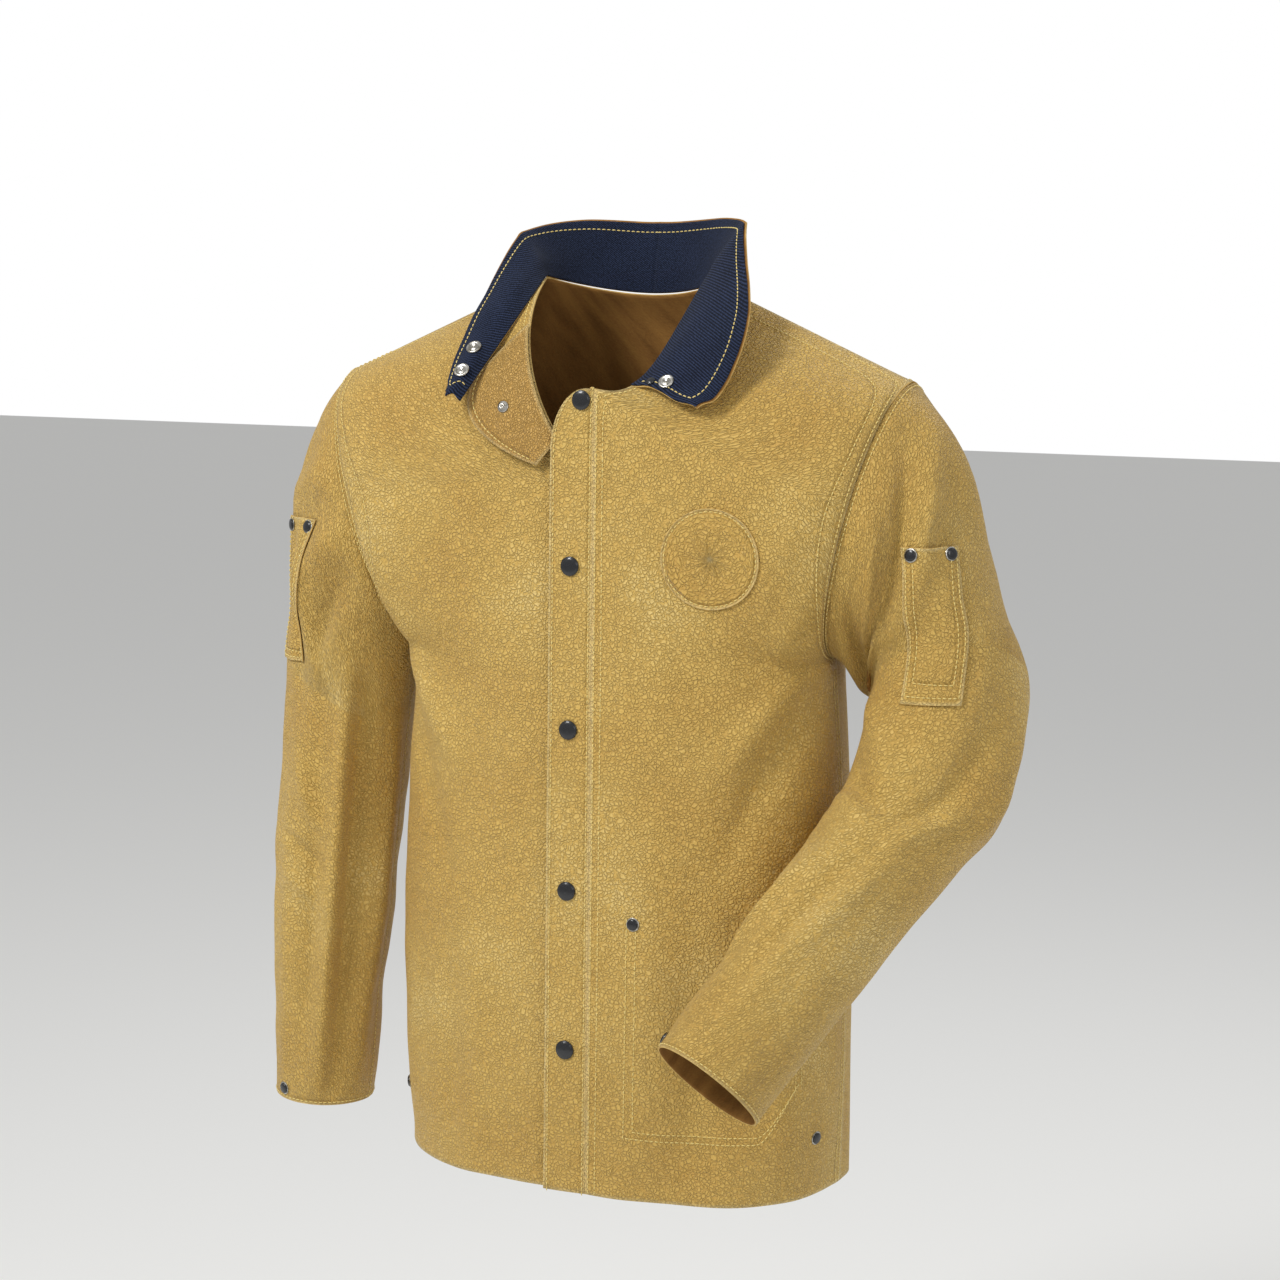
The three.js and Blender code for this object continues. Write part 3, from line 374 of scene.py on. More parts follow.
def make_panel(name, points, finishes, thickness=LEATHER, away=away_from_spine, wraps=False,
               relief=None, rows_of_stitches=(), lift=0.0, joined=()):
    """A sheet of one thickness from a grid of points on its outer face. relief(u, v, place)
    raises it in folds. Its three finishes are for the outer face, inner face and cut edge.
    joined names the end of a tube (0 or 1) that goes on in the next piece."""
    rows, columns = len(points), len(points[0])
    across = columns if wraps else columns - 1
    normals = grid_normals(points, wraps, away)
    for j in range(rows):
        for i in range(columns):
            rise = lift
            if relief:
                rise += relief(i / across, j / (rows - 1), points[j][i])
            points[j][i] = points[j][i] + normals[j][i] * rise
    normals = grid_normals(points, wraps, away)
    panel = {"points": points, "normals": normals, "wraps": wraps}
    seams = []
    for line in rows_of_stitches:
        seams.extend(on_panel(panel, *spot)[0] for spot in line)
    outer = [point for line in points for point in line]
    inner = [points[j][i] - normals[j][i] * thickness for j in range(rows) for i in range(columns)]
    places, faces, kinds = outer + inner, [], []
    size = rows * columns
    turn = (points[rows // 2][1] - points[rows // 2][0]).cross(
        points[rows // 2 + 1][0] - points[rows // 2][0]).dot(normals[rows // 2][0]) > 0
    for j in range(rows - 1):
        for i in range(across):
            k = (i + 1) % columns
            quad = [j * columns + i, j * columns + k, (j + 1) * columns + k, (j + 1) * columns + i]
            faces.append(quad if turn else quad[::-1])
            kinds.append(0)
            faces.append([size + q for q in (quad[::-1] if turn else quad)])
            kinds.append(1)
    loops = []
    if wraps:
        loops = [[i for i in range(columns)], [(rows - 1) * columns + i for i in range(columns)][::-1]]
        loops = [loop for k, loop in enumerate(loops) if k not in joined]
    else:
        loops = [[i for i in range(columns)]
                 + [j * columns + columns - 1 for j in range(1, rows)]
                 + [(rows - 1) * columns + i for i in range(columns - 2, -1, -1)]
                 + [j * columns for j in range(rows - 2, 0, -1)]]
    for loop in loops:
        rim = []
        for k, q in enumerate(loop):
            ahead, behind = outer[loop[(k + 1) % len(loop)]], outer[loop[k - 1]]
            normal = normals[q // columns][q % columns]
            out = (ahead - behind).cross(normal).normalized() * (0.3 if turn else -0.3)
            rim.append(len(places))
            places.append(outer[q] - normal * (thickness / 2) + out)
        for k, q in enumerate(loop):
            m = (k + 1) % len(loop)
            for quad in ([q, rim[k], rim[m], loop[m]], [rim[k], size + q, size + loop[m], rim[m]]):
                faces.append(quad if turn else quad[::-1])
                kinds.append(2)
    borders = [outer[q] for loop in loops for q in loop]
    mesh = bpy.data.meshes.new(name)
    mesh.from_pydata([metres(place) for place in places], [], faces)
    mesh.polygons.foreach_set("material_index", kinds)
    mesh.polygons.foreach_set("use_smooth", [True] * len(faces))
    for finish in finishes:
        mesh.materials.append(finish)
    stitch = mesh.attributes.new("stitch_mm", "FLOAT", "POINT")
    stitch.data.foreach_set("value", nearest_distances(places, seams))
    edge = mesh.attributes.new("edge_mm", "FLOAT", "POINT")
    edge.data.foreach_set("value", nearest_distances(places, borders))
    cut = lay_flat(points, wraps)
    corners = []
    for face, kind in zip(faces, kinds):
        for k, q in enumerate(face):
            if q >= 2 * size:
                q = next(p for p in face if p < 2 * size)
            q %= size
            x, y = cut[q]
            if wraps and q % columns == 0 and any(p < 2 * size and p % columns == columns - 1
                                                  for p in face):
                x += cut[-1][0]
            corners.extend((x, y))
    mesh.uv_layers.new(name="cut").data.foreach_set("uv", corners)
    piece = bpy.data.objects.new(name, mesh)
    bpy.context.scene.collection.objects.link(piece)
    panel["piece"] = piece
    return panel


def lay_flat(points, wraps):
    """Where each point of the grid lies on the flat cut, in metres. The last entry is the girth."""
    rows, columns = len(points), len(points[0])
    middle = rows // 2
    flat = []
    climb = [0.0] * columns
    girth = sum((points[middle][(i + 1) % columns] - points[middle][i]).length
                for i in range(columns if wraps else columns - 1)) / 1000
    for j in range(rows):
        along = 0.0
        for i in range(columns):
            if i:
                step = points[middle if wraps else j]
                along += (step[i] - step[i - 1]).length
            if j:
                climb[i] += (points[j][i] - points[j - 1][i]).length
            flat.append((along / 1000, climb[i] / 1000))
    flat.append((girth, 0))
    return flat
shell = (golden_grain, brown_flesh, cut_edge)


def grid(face, columns, rows):
    return [[face(i / columns, j / rows) for i in range(columns + 1)] for j in range(rows + 1)]


def row_beside(face, side_u, depth_mm, v0, v1, steps=90):
    """A line of sewing a set distance in from a panel's side edge."""
    spots = []
    inward = 1e-3 if side_u < 0.5 else -1e-3
    for k in range(steps + 1):
        v = mix(v0, v1, k / steps)
        rate = (face(side_u + inward, v) - face(side_u, v)).length / 1e-3
        spots.append((side_u + math.copysign(depth_mm / rate, inward), v))
    return spots


def fold(place, start, end, width, height):
    """A soft ridge from start to end, both given in the plane of the drawing."""
    along = (end[0] - start[0], end[1] - start[1])
    away = (place[0] - start[0], place[1] - start[1])
    t = (away[0] * along[0] + away[1] * along[1]) / (along[0] ** 2 + along[1] ** 2)
    held = min(max(t, 0), 1)
    off = math.hypot(away[0] - along[0] * held, away[1] - along[1] * held) / width
    return height * math.exp(-off * off) * math.sin(math.pi * min(max(0.08 + 0.84 * held, 0), 1))


def waver(place, size_mm, seed):
    """Smooth unevenness of a hide, from -1 to 1, with lumps of that size."""
    return noise.noise(place / size_mm + Vector((seed, seed * 1.7, -seed)))


def back_relief(u, v, place):
    calm = ease(min(u, 1 - u), 0, 0.09) * ease(v, -0.02, 0.1) * ease(1 - v, 0, 0.12)
    spot = (place.x, place.z)
    rise = 3.2 * waver(Vector((place.x, 0, place.z * 0.45)), 95, 3)
    rise += fold(spot, (-150, -330), (-70, -640), 24, 5) + fold(spot, (150, -310), (60, -600), 26, 5)
    rise += fold(spot, (-40, -260), (-20, -560), 30, -4) + fold(spot, (95, -180), (150, -300), 16, 4)
    rise += fold(spot, (-95, -180), (-155, -310), 16, 4)
    hem = 4 * math.sin(place.x / 26) * (1 - ease(v, 0, 0.16)) * ease(min(u, 1 - u), 0, 0.09)
    return rise * calm + hem


back_rows = [row_beside(back_face, side, 4, UNDERARM_ROW + 0.01, 0.99) for side in (0, 1)]
back_points = grid(back_face, 120, 110)
soften(back_points, 14)
back = make_panel("back_panel", back_points, shell, relief=back_relief, rows_of_stitches=back_rows)
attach(back["piece"], "torso")
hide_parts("back")
sewing = {}


def sew(thread, panel, rows):
    """Keeps lines of sewing on a panel, as places and normals, until the thread is made."""
    for row in rows:
        sewing.setdefault(thread, []).append([on_panel(panel, *spot) for spot in row])


sew("torso", back, back_rows)

# ---- fronts -------------------------------------------------------------------------------
# Two fronts of the same grain leather, sewn to the back at the sides and shoulders. The left
# one carries the placket and the right one lies under it, a snap's depth further in.
placket_low, placket_high = box_mm("placket")
PLACKET_TOP, CHEST_FRONT, HEM_FRONT = -80, 97, 118


def front_depth(z):
    return -mix(HEM_FRONT, CHEST_FRONT, (z - hem_front) / (PLACKET_TOP - hem_front))


hem_front = placket_low.z
right_shift = 6.6
left_edge = {"side": 1, "x": 18.3, "top": PLACKET_TOP, "shift": 0,
             "leave": Vector((40, 2, -8)), "arrive": Vector((-10, -77, -62))}
right_edge = {"side": -1, "x": -18, "top": PLACKET_TOP - 70, "shift": right_shift,
              "leave": Vector((62, 2, 45)), "arrive": Vector((-12, -85, -30))}


def neckline(edge, t):
    start = Vector((edge["x"], front_depth(edge["top"]) + edge["shift"], edge["top"]))
    end = neck_point(-1)
    return curve(start, start + edge["leave"], end + edge["arrive"], end, t)


def front_face(edge):
    def face(u, v):
        if v > 0.8:
            start = neckline(edge, (v - 0.8) / 0.2)
        else:
            z = mix(hem_front, edge["top"], v / 0.8)
            start = Vector((edge["x"], front_depth(z) + edge["shift"], z))
        place = body_row(start, side_edge(v, -1), u)
        return Vector((place.x * edge["side"], place.y, place.z))
    return face


left_face, right_face = front_face(left_edge), front_face(right_edge)


def left_relief(u, v, place):
    calm = ease(u, 0.0, 0.16) * ease(1 - u, 0, 0.1) * ease(1 - v, 0, 0.14)
    spot = (place.x, place.z)
    rise = 4.5 * waver(Vector((place.x, 0, place.z * 0.45)), 105, 11) + 1.1 * waver(place, 38, 13)
    rise += fold(spot, (178, -285), (112, -380), 11, 6) + fold(spot, (172, -320), (118, -450), 11, -5)
    rise += fold(spot, (186, -230), (150, -300), 10, 4) + fold(spot, (100, -450), (104, -700), 16, -4)
    rise += fold(spot, (60, -420), (74, -690), 22, 4) + fold(spot, (150, -440), (170, -710), 14, 6)
    rise += fold(spot, (190, -150), (150, -235), 14, 2.5)
    hem = 3.5 * math.sin(place.x / 19 + 0.8) * (1 - ease(v, 0, 0.12))
    return (rise + hem) * calm


def right_relief(u, v, place):
    calm = ease(u, 0.16, 0.42) * ease(1 - u, 0, 0.1) * ease(1 - v, 0, 0.14)
    spot = (-place.x, place.z)
    rise = 4.5 * waver(Vector((place.x, 0, place.z * 0.45)), 100, 23) + 1.1 * waver(place, 38, 17)
    rise += fold(spot, (178, -288), (100, -390), 12, 7) + fold(spot, (174, -325), (112, -480), 12, -6)
    rise += fold(spot, (184, -240), (150, -310), 10, 4) + fold(spot, (110, -500), (112, -705), 16, -5)
    rise += fold(spot, (90, -450), (80, -690), 26, 4) + fold(spot, (150, -500), (140, -700), 20, -3)
    hem = 4 * math.sin(place.x / 22) * (1 - ease(v, 0, 0.12))
    return (rise + hem) * calm


fronts = {}
for name, face, relief in (("left_front", left_face, left_relief),
                           ("right_front", right_face, right_relief)):
    rows = [row_beside(face, 1, depth, UNDERARM_ROW + 0.004, 0.992) for depth in (4.5, 11.5)]
    rows += [row_beside(face, 1, depth, 0.004, UNDERARM_ROW - 0.01) for depth in (4, 10)]
    rows += [row_beside(face, 0, 6, 0.803, 0.995)]
    if name == "left_front":
        rows += [row_beside(face, 0, depth, 0.003, 0.797) for depth in (2.4, 8.4)]
    points = grid(face, 88, 130)
    soften(points, 14)
    fronts[name] = make_panel(name + "_panel", points, shell, relief=relief, rows_of_stitches=rows)
    piece = fronts[name]["piece"]
    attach(piece, "torso")
    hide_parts(name)
    sew("torso", fronts[name], rows)

# ---- placket and its facings --------------------------------------------------------------
# A 36 mm strip of doubled leather down the left front. Its top corner is rounded, its free
# edge is stitched once, and a smoother brown facing backs it and the right front's edge.
EDGE = placket_high.x
CORNER_WIDTH, CORNER_HEIGHT = 30, 48


def strip_face(inset, depth, low_x, high_x):
    def face(u, v):
        z = mix(hem_front + inset, PLACKET_TOP - inset, v)
        width, height = CORNER_WIDTH - inset, CORNER_HEIGHT - inset
        from_top = min(max((PLACKET_TOP - inset - z) / height, 0), 1)
        cut_back = width * (1 - math.sqrt(max(1 - (1 - from_top) ** 2, 0)))
        x = mix(low_x + inset + cut_back, high_x, u)
        return Vector((x, front_depth(z) + depth, z))
    return face


def forward(point):
    return Vector((0, -1, 0))


def packed_rows(count, power=0.55):
    """Rows that crowd towards the top, where the corner turns."""
    return [1 - (1 - k / count) ** (1 / power) for k in range(count + 1)]


def strip_grid(face, columns, rows):
    return [[face(i / columns, v) for i in range(columns + 1)] for v in packed_rows(rows)]


def placket_relief(u, v, place):
    swell = 0.5 * math.sin(math.pi * min(u * 1.06, 1))
    return swell + 0.5 * waver(place, 60, 7) * ease(1 - u, 0, 0.3)


placket_face = strip_face(0, 0, -EDGE, EDGE + 0.1)
placket_points = strip_grid(placket_face, 22, 190)


def strip_row(depth_mm, top_v=0.965):
    """A line of sewing down the strip, a set distance in from its free edge."""
    return [(depth_mm / (2 * EDGE), top_v * k / 150) for k in range(151)]


placket_rows = [strip_row(3.2, 0.975), [(1 - 2.6 / (2 * EDGE), 0.995 * k / 150) for k in range(151)]]
placket = make_panel("placket_strip", placket_points, shell, away=forward, relief=placket_relief,
                     rows_of_stitches=placket_rows)
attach(placket["piece"], "front_placket")
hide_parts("placket")
sew("placket", placket, placket_rows)

smooth_facing = drum_dyed_leather("plated_tan_facing_leather", "#A57A35", "#C39A4C", "#D3B068",
                                  520, 0.5, "#E2C88A")
facing = make_panel("placket_facing_strip", strip_grid(strip_face(2, LEATHER + 0.3, -EDGE, EDGE), 8, 150),
                    (smooth_facing, smooth_facing, cut_edge), 1.1, away=forward)
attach(facing["piece"], "front_placket")
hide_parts("placket_facing")


def right_facing_face(u, v):
    place = right_face(0.004 + u * 0.215, mix(0.004, 0.79, v))
    return place + Vector((0, LEATHER + 0.6, 0))


right_facing = make_panel("right_facing_strip", grid(right_facing_face, 10, 110),
                          (smooth_facing, smooth_facing, cut_edge), 1.1, away=forward)
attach(right_facing["piece"], "torso")
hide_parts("right_facing")

# ---- turned-back lapel --------------------------------------------------------------------
# The open top corner of the right front falls outward, so its facing shows, with the stud of
# the top snap in the middle of it.


def on_front(panel, x, z):
    """The place and normal of a front where it has this x and z."""
    u, v = 0.4, 0.7
    for _ in range(30):
        here = on_panel(panel, u, v)[0]
        du = (on_panel(panel, u + 0.01, v)[0] - here) / 0.01
        dv = (on_panel(panel, u, v + 0.01)[0] - here) / 0.01
        spread = du.x * dv.z - dv.x * du.z
        miss_x, miss_z = x - here.x, z - here.z
        u = min(max(u + 0.7 * (miss_x * dv.z - dv.x * miss_z) / spread, 0), 0.985)
        v = min(max(v + 0.7 * (du.x * miss_z - miss_x * du.z) / spread, 0), 0.985)
    return on_panel(panel, u, v)


def lapel_face(u, v):
    turn = neckline(right_edge, mix(0.2, 0.72, v))
    outer = curve(Vector((30, 0, -140)), Vector((84, 0, -124)), Vector((112, 0, -98)),
                  Vector((82, 0, -64)), v)
    x, z = mix(turn.x, outer.x, u), mix(turn.z, outer.z, u)
    under = on_front(fronts["right_front"], -x, z)[0]
    return Vector((-x, under.y - 4 - 3 * u - 2 * math.sin(math.pi * u), z))


lapel_rows = [[(0.9, 0.06 + 0.88 * k / 40) for k in range(41)]]
lapel = make_panel("turned_back_lapel", grid(lapel_face, 26, 34),
                   (smooth_facing, golden_grain, cut_edge), 1.1, away=forward,
                   rows_of_stitches=lapel_rows)
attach(lapel["piece"], "torso")
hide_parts("right_lapel")
sew("torso", lapel, lapel_rows)

# ---- chest patch --------------------------------------------------------------------------
# A round leather patch, 77 mm across, stitched to the left chest. It is embossed with plain
# rings, a roped border and a fluted rosette, pressed about half a millimetre deep.
patch_low, patch_high = box_mm("chest_patch")
patch_x, patch_z = (patch_low.x + patch_high.x) / 2, (patch_low.z + patch_high.z) / 2
PATCH_RADIUS, PATCH_RINGS, PATCH_SPOKES = 38.5, 60, 180


def embossing(radius, angle):
    rise = -0.5 * math.exp(-((radius - 36.2) / 0.9) ** 2)
    for ring in (34.0, 25.5, 23.8):
        rise += 0.42 * math.exp(-((radius - ring) / 0.75) ** 2)
    if 26.5 < radius < 33:
        rope = math.sin(angle * 36 + radius * 0.9)
        rise += 0.3 * max(rope, 0) * math.sin(math.pi * (radius - 26.5) / 6.5)
    if radius < 22.5:
        petals = math.cos(angle * 12 + 0.22 * radius)
        rise += 0.42 * petals * ease(radius, 2, 7) * (1 - ease(radius, 18.5, 22.5))
        rise += 0.35 * math.exp(-((radius - 5.5) / 1.3) ** 2)
    return rise


def disc_grid(panel, x, z, radius, rings, spokes, lift, relief):
    points = []
    for j in range(rings + 1):
        r = max(radius * j / rings, 0.02)
        line = []
        for k in range(spokes):
            angle = 2 * math.pi * k / spokes
            place, normal = on_front(panel, x + r * math.cos(angle), z + r * math.sin(angle))
            line.append(place + normal * (lift + relief(r, angle)))
        points.append(line)
    return points


patch_row = [(k / 120, 36.2 / PATCH_RADIUS) for k in range(121)]
patch = make_panel("round_chest_patch",
                   disc_grid(fronts["left_front"], patch_x, patch_z, PATCH_RADIUS, PATCH_RINGS,
                             PATCH_SPOKES, 1.5, embossing),
                   (golden_grain, brown_flesh, cut_edge), 1.1, away=forward, wraps=True,
                   rows_of_stitches=[patch_row])
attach(patch["piece"], "torso")
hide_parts("chest_patch")
sew("torso", patch, [patch_row])

# ---- inside pocket ------------------------------------------------------------------------
# A pocket bag behind the left front. From outside only its two rows of sewing show, down one
# side, along the bottom, round the clipped corner and up the other side.
pocket_low, pocket_high = box_mm("inside_pocket")


def share_of(face, x, z):
    u = v = 0.4
    for _ in range(30):
        here = face(u, v)
        du, dv = (face(u + 1e-3, v) - here) / 1e-3, (face(u, v + 1e-3) - here) / 1e-3
        spread = du.x * dv.z - dv.x * du.z
        u = min(max(u + 0.7 * ((x - here.x) * dv.z - dv.x * (z - here.z)) / spread, 0), 0.995)
        v = min(max(v + 0.7 * (du.x * (z - here.z) - (x - here.x) * du.z) / spread, 0), 0.995)
    return u, v


low_v = share_of(left_face, 112, pocket_low.z)[1]
high_v = share_of(left_face, 112, pocket_high.z)[1]
inner_u = share_of(left_face, 46, pocket_low.z)[0]
outer_u = share_of(left_face, 112 + 66 * 0.92, pocket_low.z)[0]


def pocket_spot(u, v):
    clipped = max(0, 0.3 - v) * ease(u, 0.7, 1)
    return mix(inner_u, outer_u, u), mix(low_v, high_v, v + clipped * (1 - v))


def pocket_face(u, v):
    place, normal = on_panel(fronts["left_front"], *pocket_spot(u, v))
    return place - normal * (LEATHER + 1.2)


pocket = make_panel("inside_pocket_bag", grid(pocket_face, 40, 44),
                    (brown_flesh, smooth_facing, cut_edge), 1.1)
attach(pocket["piece"], "torso")
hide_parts("inside_pocket")
pocket_rows = []
for inset in (3, 8.5):
    across, up = inset / 127, inset / 176
    path = [(across, mix(0.97, up, k / 70)) for k in range(71)]
    path += [(mix(across, 1 - across, k / 60), up) for k in range(1, 61)]
    path += [(1 - across, mix(up, 0.97, k / 70)) for k in range(1, 71)]
    pocket_rows.append([pocket_spot(*spot) for spot in path])
sew("torso", fronts["left_front"], pocket_rows)

# ---- sleeves ------------------------------------------------------------------------------
# Each sleeve is one tube of grain leather sewn into its armhole. The right one hangs with long
# folds, and the left one is bent, with short creases pressed into the crook of the elbow.
STATIONS = (0, 0.16, 0.32, 0.48, 0.64, 0.8)
LOWER_STATIONS = (0.16, 0.32, 0.5, 0.68, 0.85, 1)
GIRTH = 112
UPPER_ROWS, LOWER_ROWS = 66, 84


def joint_place(name):
    joint = next(j for j in frame["joints"] if j["name"] == name)
    return Vector(joint["pos_m"]) * 1000, Vector(joint["axis"])


def through(rings, share):
    """A smooth line through a run of points, at a share of its length."""
    x = share * (len(rings) - 1)
    k = min(int(x), len(rings) - 2)
    t = x - k
    a, b, c, d = (rings[min(max(k + o, 0), len(rings) - 1)] for o in (-1, 0, 1, 2))
    return 0.5 * (2 * b + (c - a) * t + (2 * a - 5 * b + 4 * c - d) * t * t
                  + (3 * b - a - 3 * c + d) * t**3)


CUFF_HALF_WIDTH, CUFF_HALF_DEPTH = 40, 47
TUCK_SHARE, TUCK_MM = 0.03, 3


def sleeve_grid(side, elbow, cuff, half_width, half_depth, bent):
    """The outer face of a sleeve on its left-hand pattern, from armhole to cuff."""
    upper = (elbow - armhole_middle + Vector((-20, 0, 0))).normalized()
    lower = (cuff - elbow).normalized()
    mitre = (upper + lower).normalized() if bent else lower.copy()
    hinge = lower.cross(upper).normalized() if bent else Vector((1, 0, 0))
    hinge = (hinge - mitre * hinge.dot(mitre)).normalized()
    hinge = -hinge if hinge.x < 0 else hinge
    bend = hinge.cross(mitre).normalized()
    bend = -bend if bend.y > 0 else bend
    across = (hinge - lower * hinge.dot(lower)).normalized()
    deep = across.cross(lower).normalized()
    deep = -deep if deep.dot(bend) < 0 else deep
    fall = (armhole_normal + Vector((0, 0, -0.6))).normalized()
    lines = []
    for k in range(GIRTH):
        angle = 2 * math.pi * k / GIRTH
        start = armhole(angle) + armhole_normal * 0.4
        ring = elbow + hinge * (half_width * math.cos(angle)) + bend * (half_depth * math.sin(angle))
        first = start + fall * (47 + 33 * math.cos(angle))
        second = ring - upper * (70 + 34 * math.cos(angle))
        end = (cuff + across * (CUFF_HALF_WIDTH * math.cos(angle))
               + deep * (CUFF_HALF_DEPTH * math.sin(angle)))
        run = [curve(start, first, second, ring, s) for s in STATIONS]
        run += [ring.lerp(end, s) for s in LOWER_STATIONS]
        lines.append(run)
    total = UPPER_ROWS + LOWER_ROWS
    points = [[through(lines[k], j / total) for k in range(GIRTH)] for j in range(total + 1)]
    # The sleeve's seam allowance is turned in under the edge of the body.
    for k in range(GIRTH):
        rim = armhole(2 * math.pi * k / GIRTH)
        points[0][k] = rim.lerp(armhole_middle, TUCK_SHARE) - armhole_normal * TUCK_MM
    return [[Vector((p.x * side, p.y, p.z)) for p in line] for line in points], mitre


def wrapped(angle):
    return (angle + math.pi) % (2 * math.pi) - math.pi


def sleeve_fold(a, s, start, end, width, height):
    """A ridge on the sleeve between two (degrees, share) spots. Width is in millimetres."""
    girth_mm, length_mm = 360, 640
    spot = (wrapped(a - math.radians(start[0])) / (2 * math.pi) * girth_mm, s * length_mm)
    last = (wrapped(math.radians(end[0] - start[0])) / (2 * math.pi) * girth_mm, end[1] * length_mm)
    return fold(spot, (0, start[1] * length_mm), last, width, height)


LEFT_FOLDS = [
    ((38, 0.55), (112, 0.47), 8, 6), ((36, 0.6), (105, 0.53), 8, -6),
    ((52, 0.6), (110, 0.575), 9, 4), ((60, 0.66), (112, 0.63), 9, -4),
    ((100, 0.36), (150, 0.47), 8, 7), ((88, 0.3), (140, 0.44), 8, -6),
    ((20, 0.1), (62, 0.42), 11, 7), ((40, 0.06), (80, 0.36), 9, -6),
    ((75, 0.05), (100, 0.34), 9, 6), ((115, 0.06), (130, 0.4), 10, -7),
    ((140, 0.1), (165, 0.46), 12, 7), ((-20, 0.48), (28, 0.6), 10, -6),
    ((-10, 0.56), (30, 0.66), 10, 6), ((72, 0.68), (96, 0.84), 7, 7),
    ((30, 0.64), (62, 0.9), 11, -6), ((10, 0.62), (40, 0.86), 12, 6),
    ((-60, 0.45), (-20, 0.62), 14, 6), ((-120, 0.2), (-90, 0.6), 16, 6),
    ((180, 0.5), (150, 0.9), 14, 6), ((-150, 0.55), (-110, 0.95), 14, -6),
    ((10, 0.05), (-20, 0.3), 14, 5), ((110, 0.66), (135, 0.95), 9, -5),
]
RIGHT_FOLDS = [
    ((98, 0.05), (62, 0.34), 8, 8), ((112, 0.1), (82, 0.4), 8, -8), ((76, 0.03), (36, 0.22), 8, 7),
    ((60, 0.2), (88, 0.42), 8, 7), ((42, 0.2), (72, 0.46), 8, -7), ((30, 0.12), (52, 0.34), 9, 6),
    ((120, 0.3), (112, 0.97), 9, 10), ((136, 0.33), (132, 0.95), 10, -9),
    ((96, 0.42), (94, 0.88), 12, -6), ((30, 0.4), (40, 0.92), 15, 6), ((60, 0.5), (66, 0.97), 12, 4),
    ((-30, 0.15), (-10, 0.6), 16, 6), ((-80, 0.3), (-60, 0.95), 16, 7),
    ((-130, 0.25), (-120, 0.9), 14, -7), ((170, 0.4), (160, 0.95), 12, 8),
    ((70, 0.5), (108, 0.58), 7, 6), ((58, 0.57), (100, 0.63), 7, -5), ((62, 0.64), (96, 0.68), 7, 4),
    ((-10, 0.45), (25, 0.55), 9, 5),
]


def sleeve_relief(folds, seed):
    def relief(u, v, place):
        angle = 2 * math.pi * u
        calm = ease(v, 0.0, 0.07)
        rise = sum(sleeve_fold(angle, v, *one) for one in folds)
        rise += 2.4 * waver(place, 70, seed) + 1.0 * waver(place, 30, seed + 5)
        return rise * calm * (0.35 + 0.65 * ease(1 - v, 0, 0.06))
    return relief


left_elbow = joint_place("left_elbow_bend")[0]
right_elbow = joint_place("right_elbow_bend")[0]
right_elbow.x = -right_elbow.x
SLEEVES = {
    "left": (1, left_elbow, Vector((151, -192, -586)), 58, 66, True, LEFT_FOLDS, 31),
    "right": (-1, right_elbow, Vector((272, -14, -692)), 50, 62, False, RIGHT_FOLDS, 47),
}
sleeves = {}
for side_name, (side, elbow, cuff, width, depth, bent, folds, seed) in SLEEVES.items():
    points, mitre = sleeve_grid(side, elbow, cuff, width, depth, bent)
    total = UPPER_ROWS + LOWER_ROWS
    middles = [sum(line, Vector((0, 0, 0))) / GIRTH for line in points]
    kept = [[p.copy() for p in line] for line in points]
    normals = grid_normals(points, True, lambda p: p - middles[total // 2])
    relief = sleeve_relief(folds, seed)
    for j in range(total + 1):
        for i in range(GIRTH):
            rise = relief(i / GIRTH, j / total, kept[j][i])
            points[j][i] = kept[j][i] + normals[j][i] * rise
    normals = grid_normals(points, True, lambda p: p - middles[total // 2])
    sleeves[side_name] = {"points": points, "normals": normals, "wraps": True, "mitre": mitre,
                          "side": side, "elbow": Vector((elbow.x * side, elbow.y, elbow.z))}
    for part, first, last, node in (("upper", 0, UPPER_ROWS, "upper_sleeve"),
                                    ("lower", UPPER_ROWS, total, "lower_sleeve")):
        rows = []
        if part == "upper":
            rows.append([(k / 200, 0.035) for k in range(201)])
        else:
            rows.append([(k / 160, 0.985) for k in range(161)])
        seam_share = 0.5
        rows.append([(seam_share + 0.012, k / 150) for k in range(151)])
        piece_points = [[p.copy() for p in line] for line in points[first:last + 1]]
        mid = (first + last) // 2
        panel = make_panel(f"{side_name}_{part}_sleeve_leather", piece_points, shell,
                           away=lambda p, m=middles[mid]: p - m, wraps=True,
                           rows_of_stitches=rows, joined=(1,) if part == "upper" else (0,))
        piece = panel["piece"]
        inner_first = len(piece_points) * GIRTH
        shading = [v.normal.copy() for v in piece.data.vertices]
        for j in (0, last - first):
            for i in range(GIRTH):
                shading[j * GIRTH + i] = normals[first + j][i]
                if (j > 0) == (part == "upper"):
                    shading[inner_first + j * GIRTH + i] = -normals[first + j][i]
        piece.data.normals_split_custom_set_from_vertices(shading)
        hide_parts(f"{side_name}_{node}")
        sleeves[side_name][part] = panel
        thread = f"{side_name}_{part}"
        sew(thread, panel, rows[:1] if part == "upper" else rows)
        if part == "upper":
            sew(thread, panel, rows[1:])


def sleeve_motion(piece, side_name, part):
    """Bakes a sleeve piece's placement into its mesh. The armhole or elbow normal it works out is not
    used.
    """
    sleeve = sleeves[side_name]
    side = sleeve["side"]
    if part == "upper":
        normal = Vector((armhole_normal.x * side, 0, armhole_normal.z))
        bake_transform(piece)
    else:
        normal = sleeve["mitre"].copy()
        normal.x *= side
        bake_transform(piece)


for side_name in SLEEVES:
    for part in ("upper", "lower"):
        sleeve_motion(sleeves[side_name][part]["piece"], side_name, part)

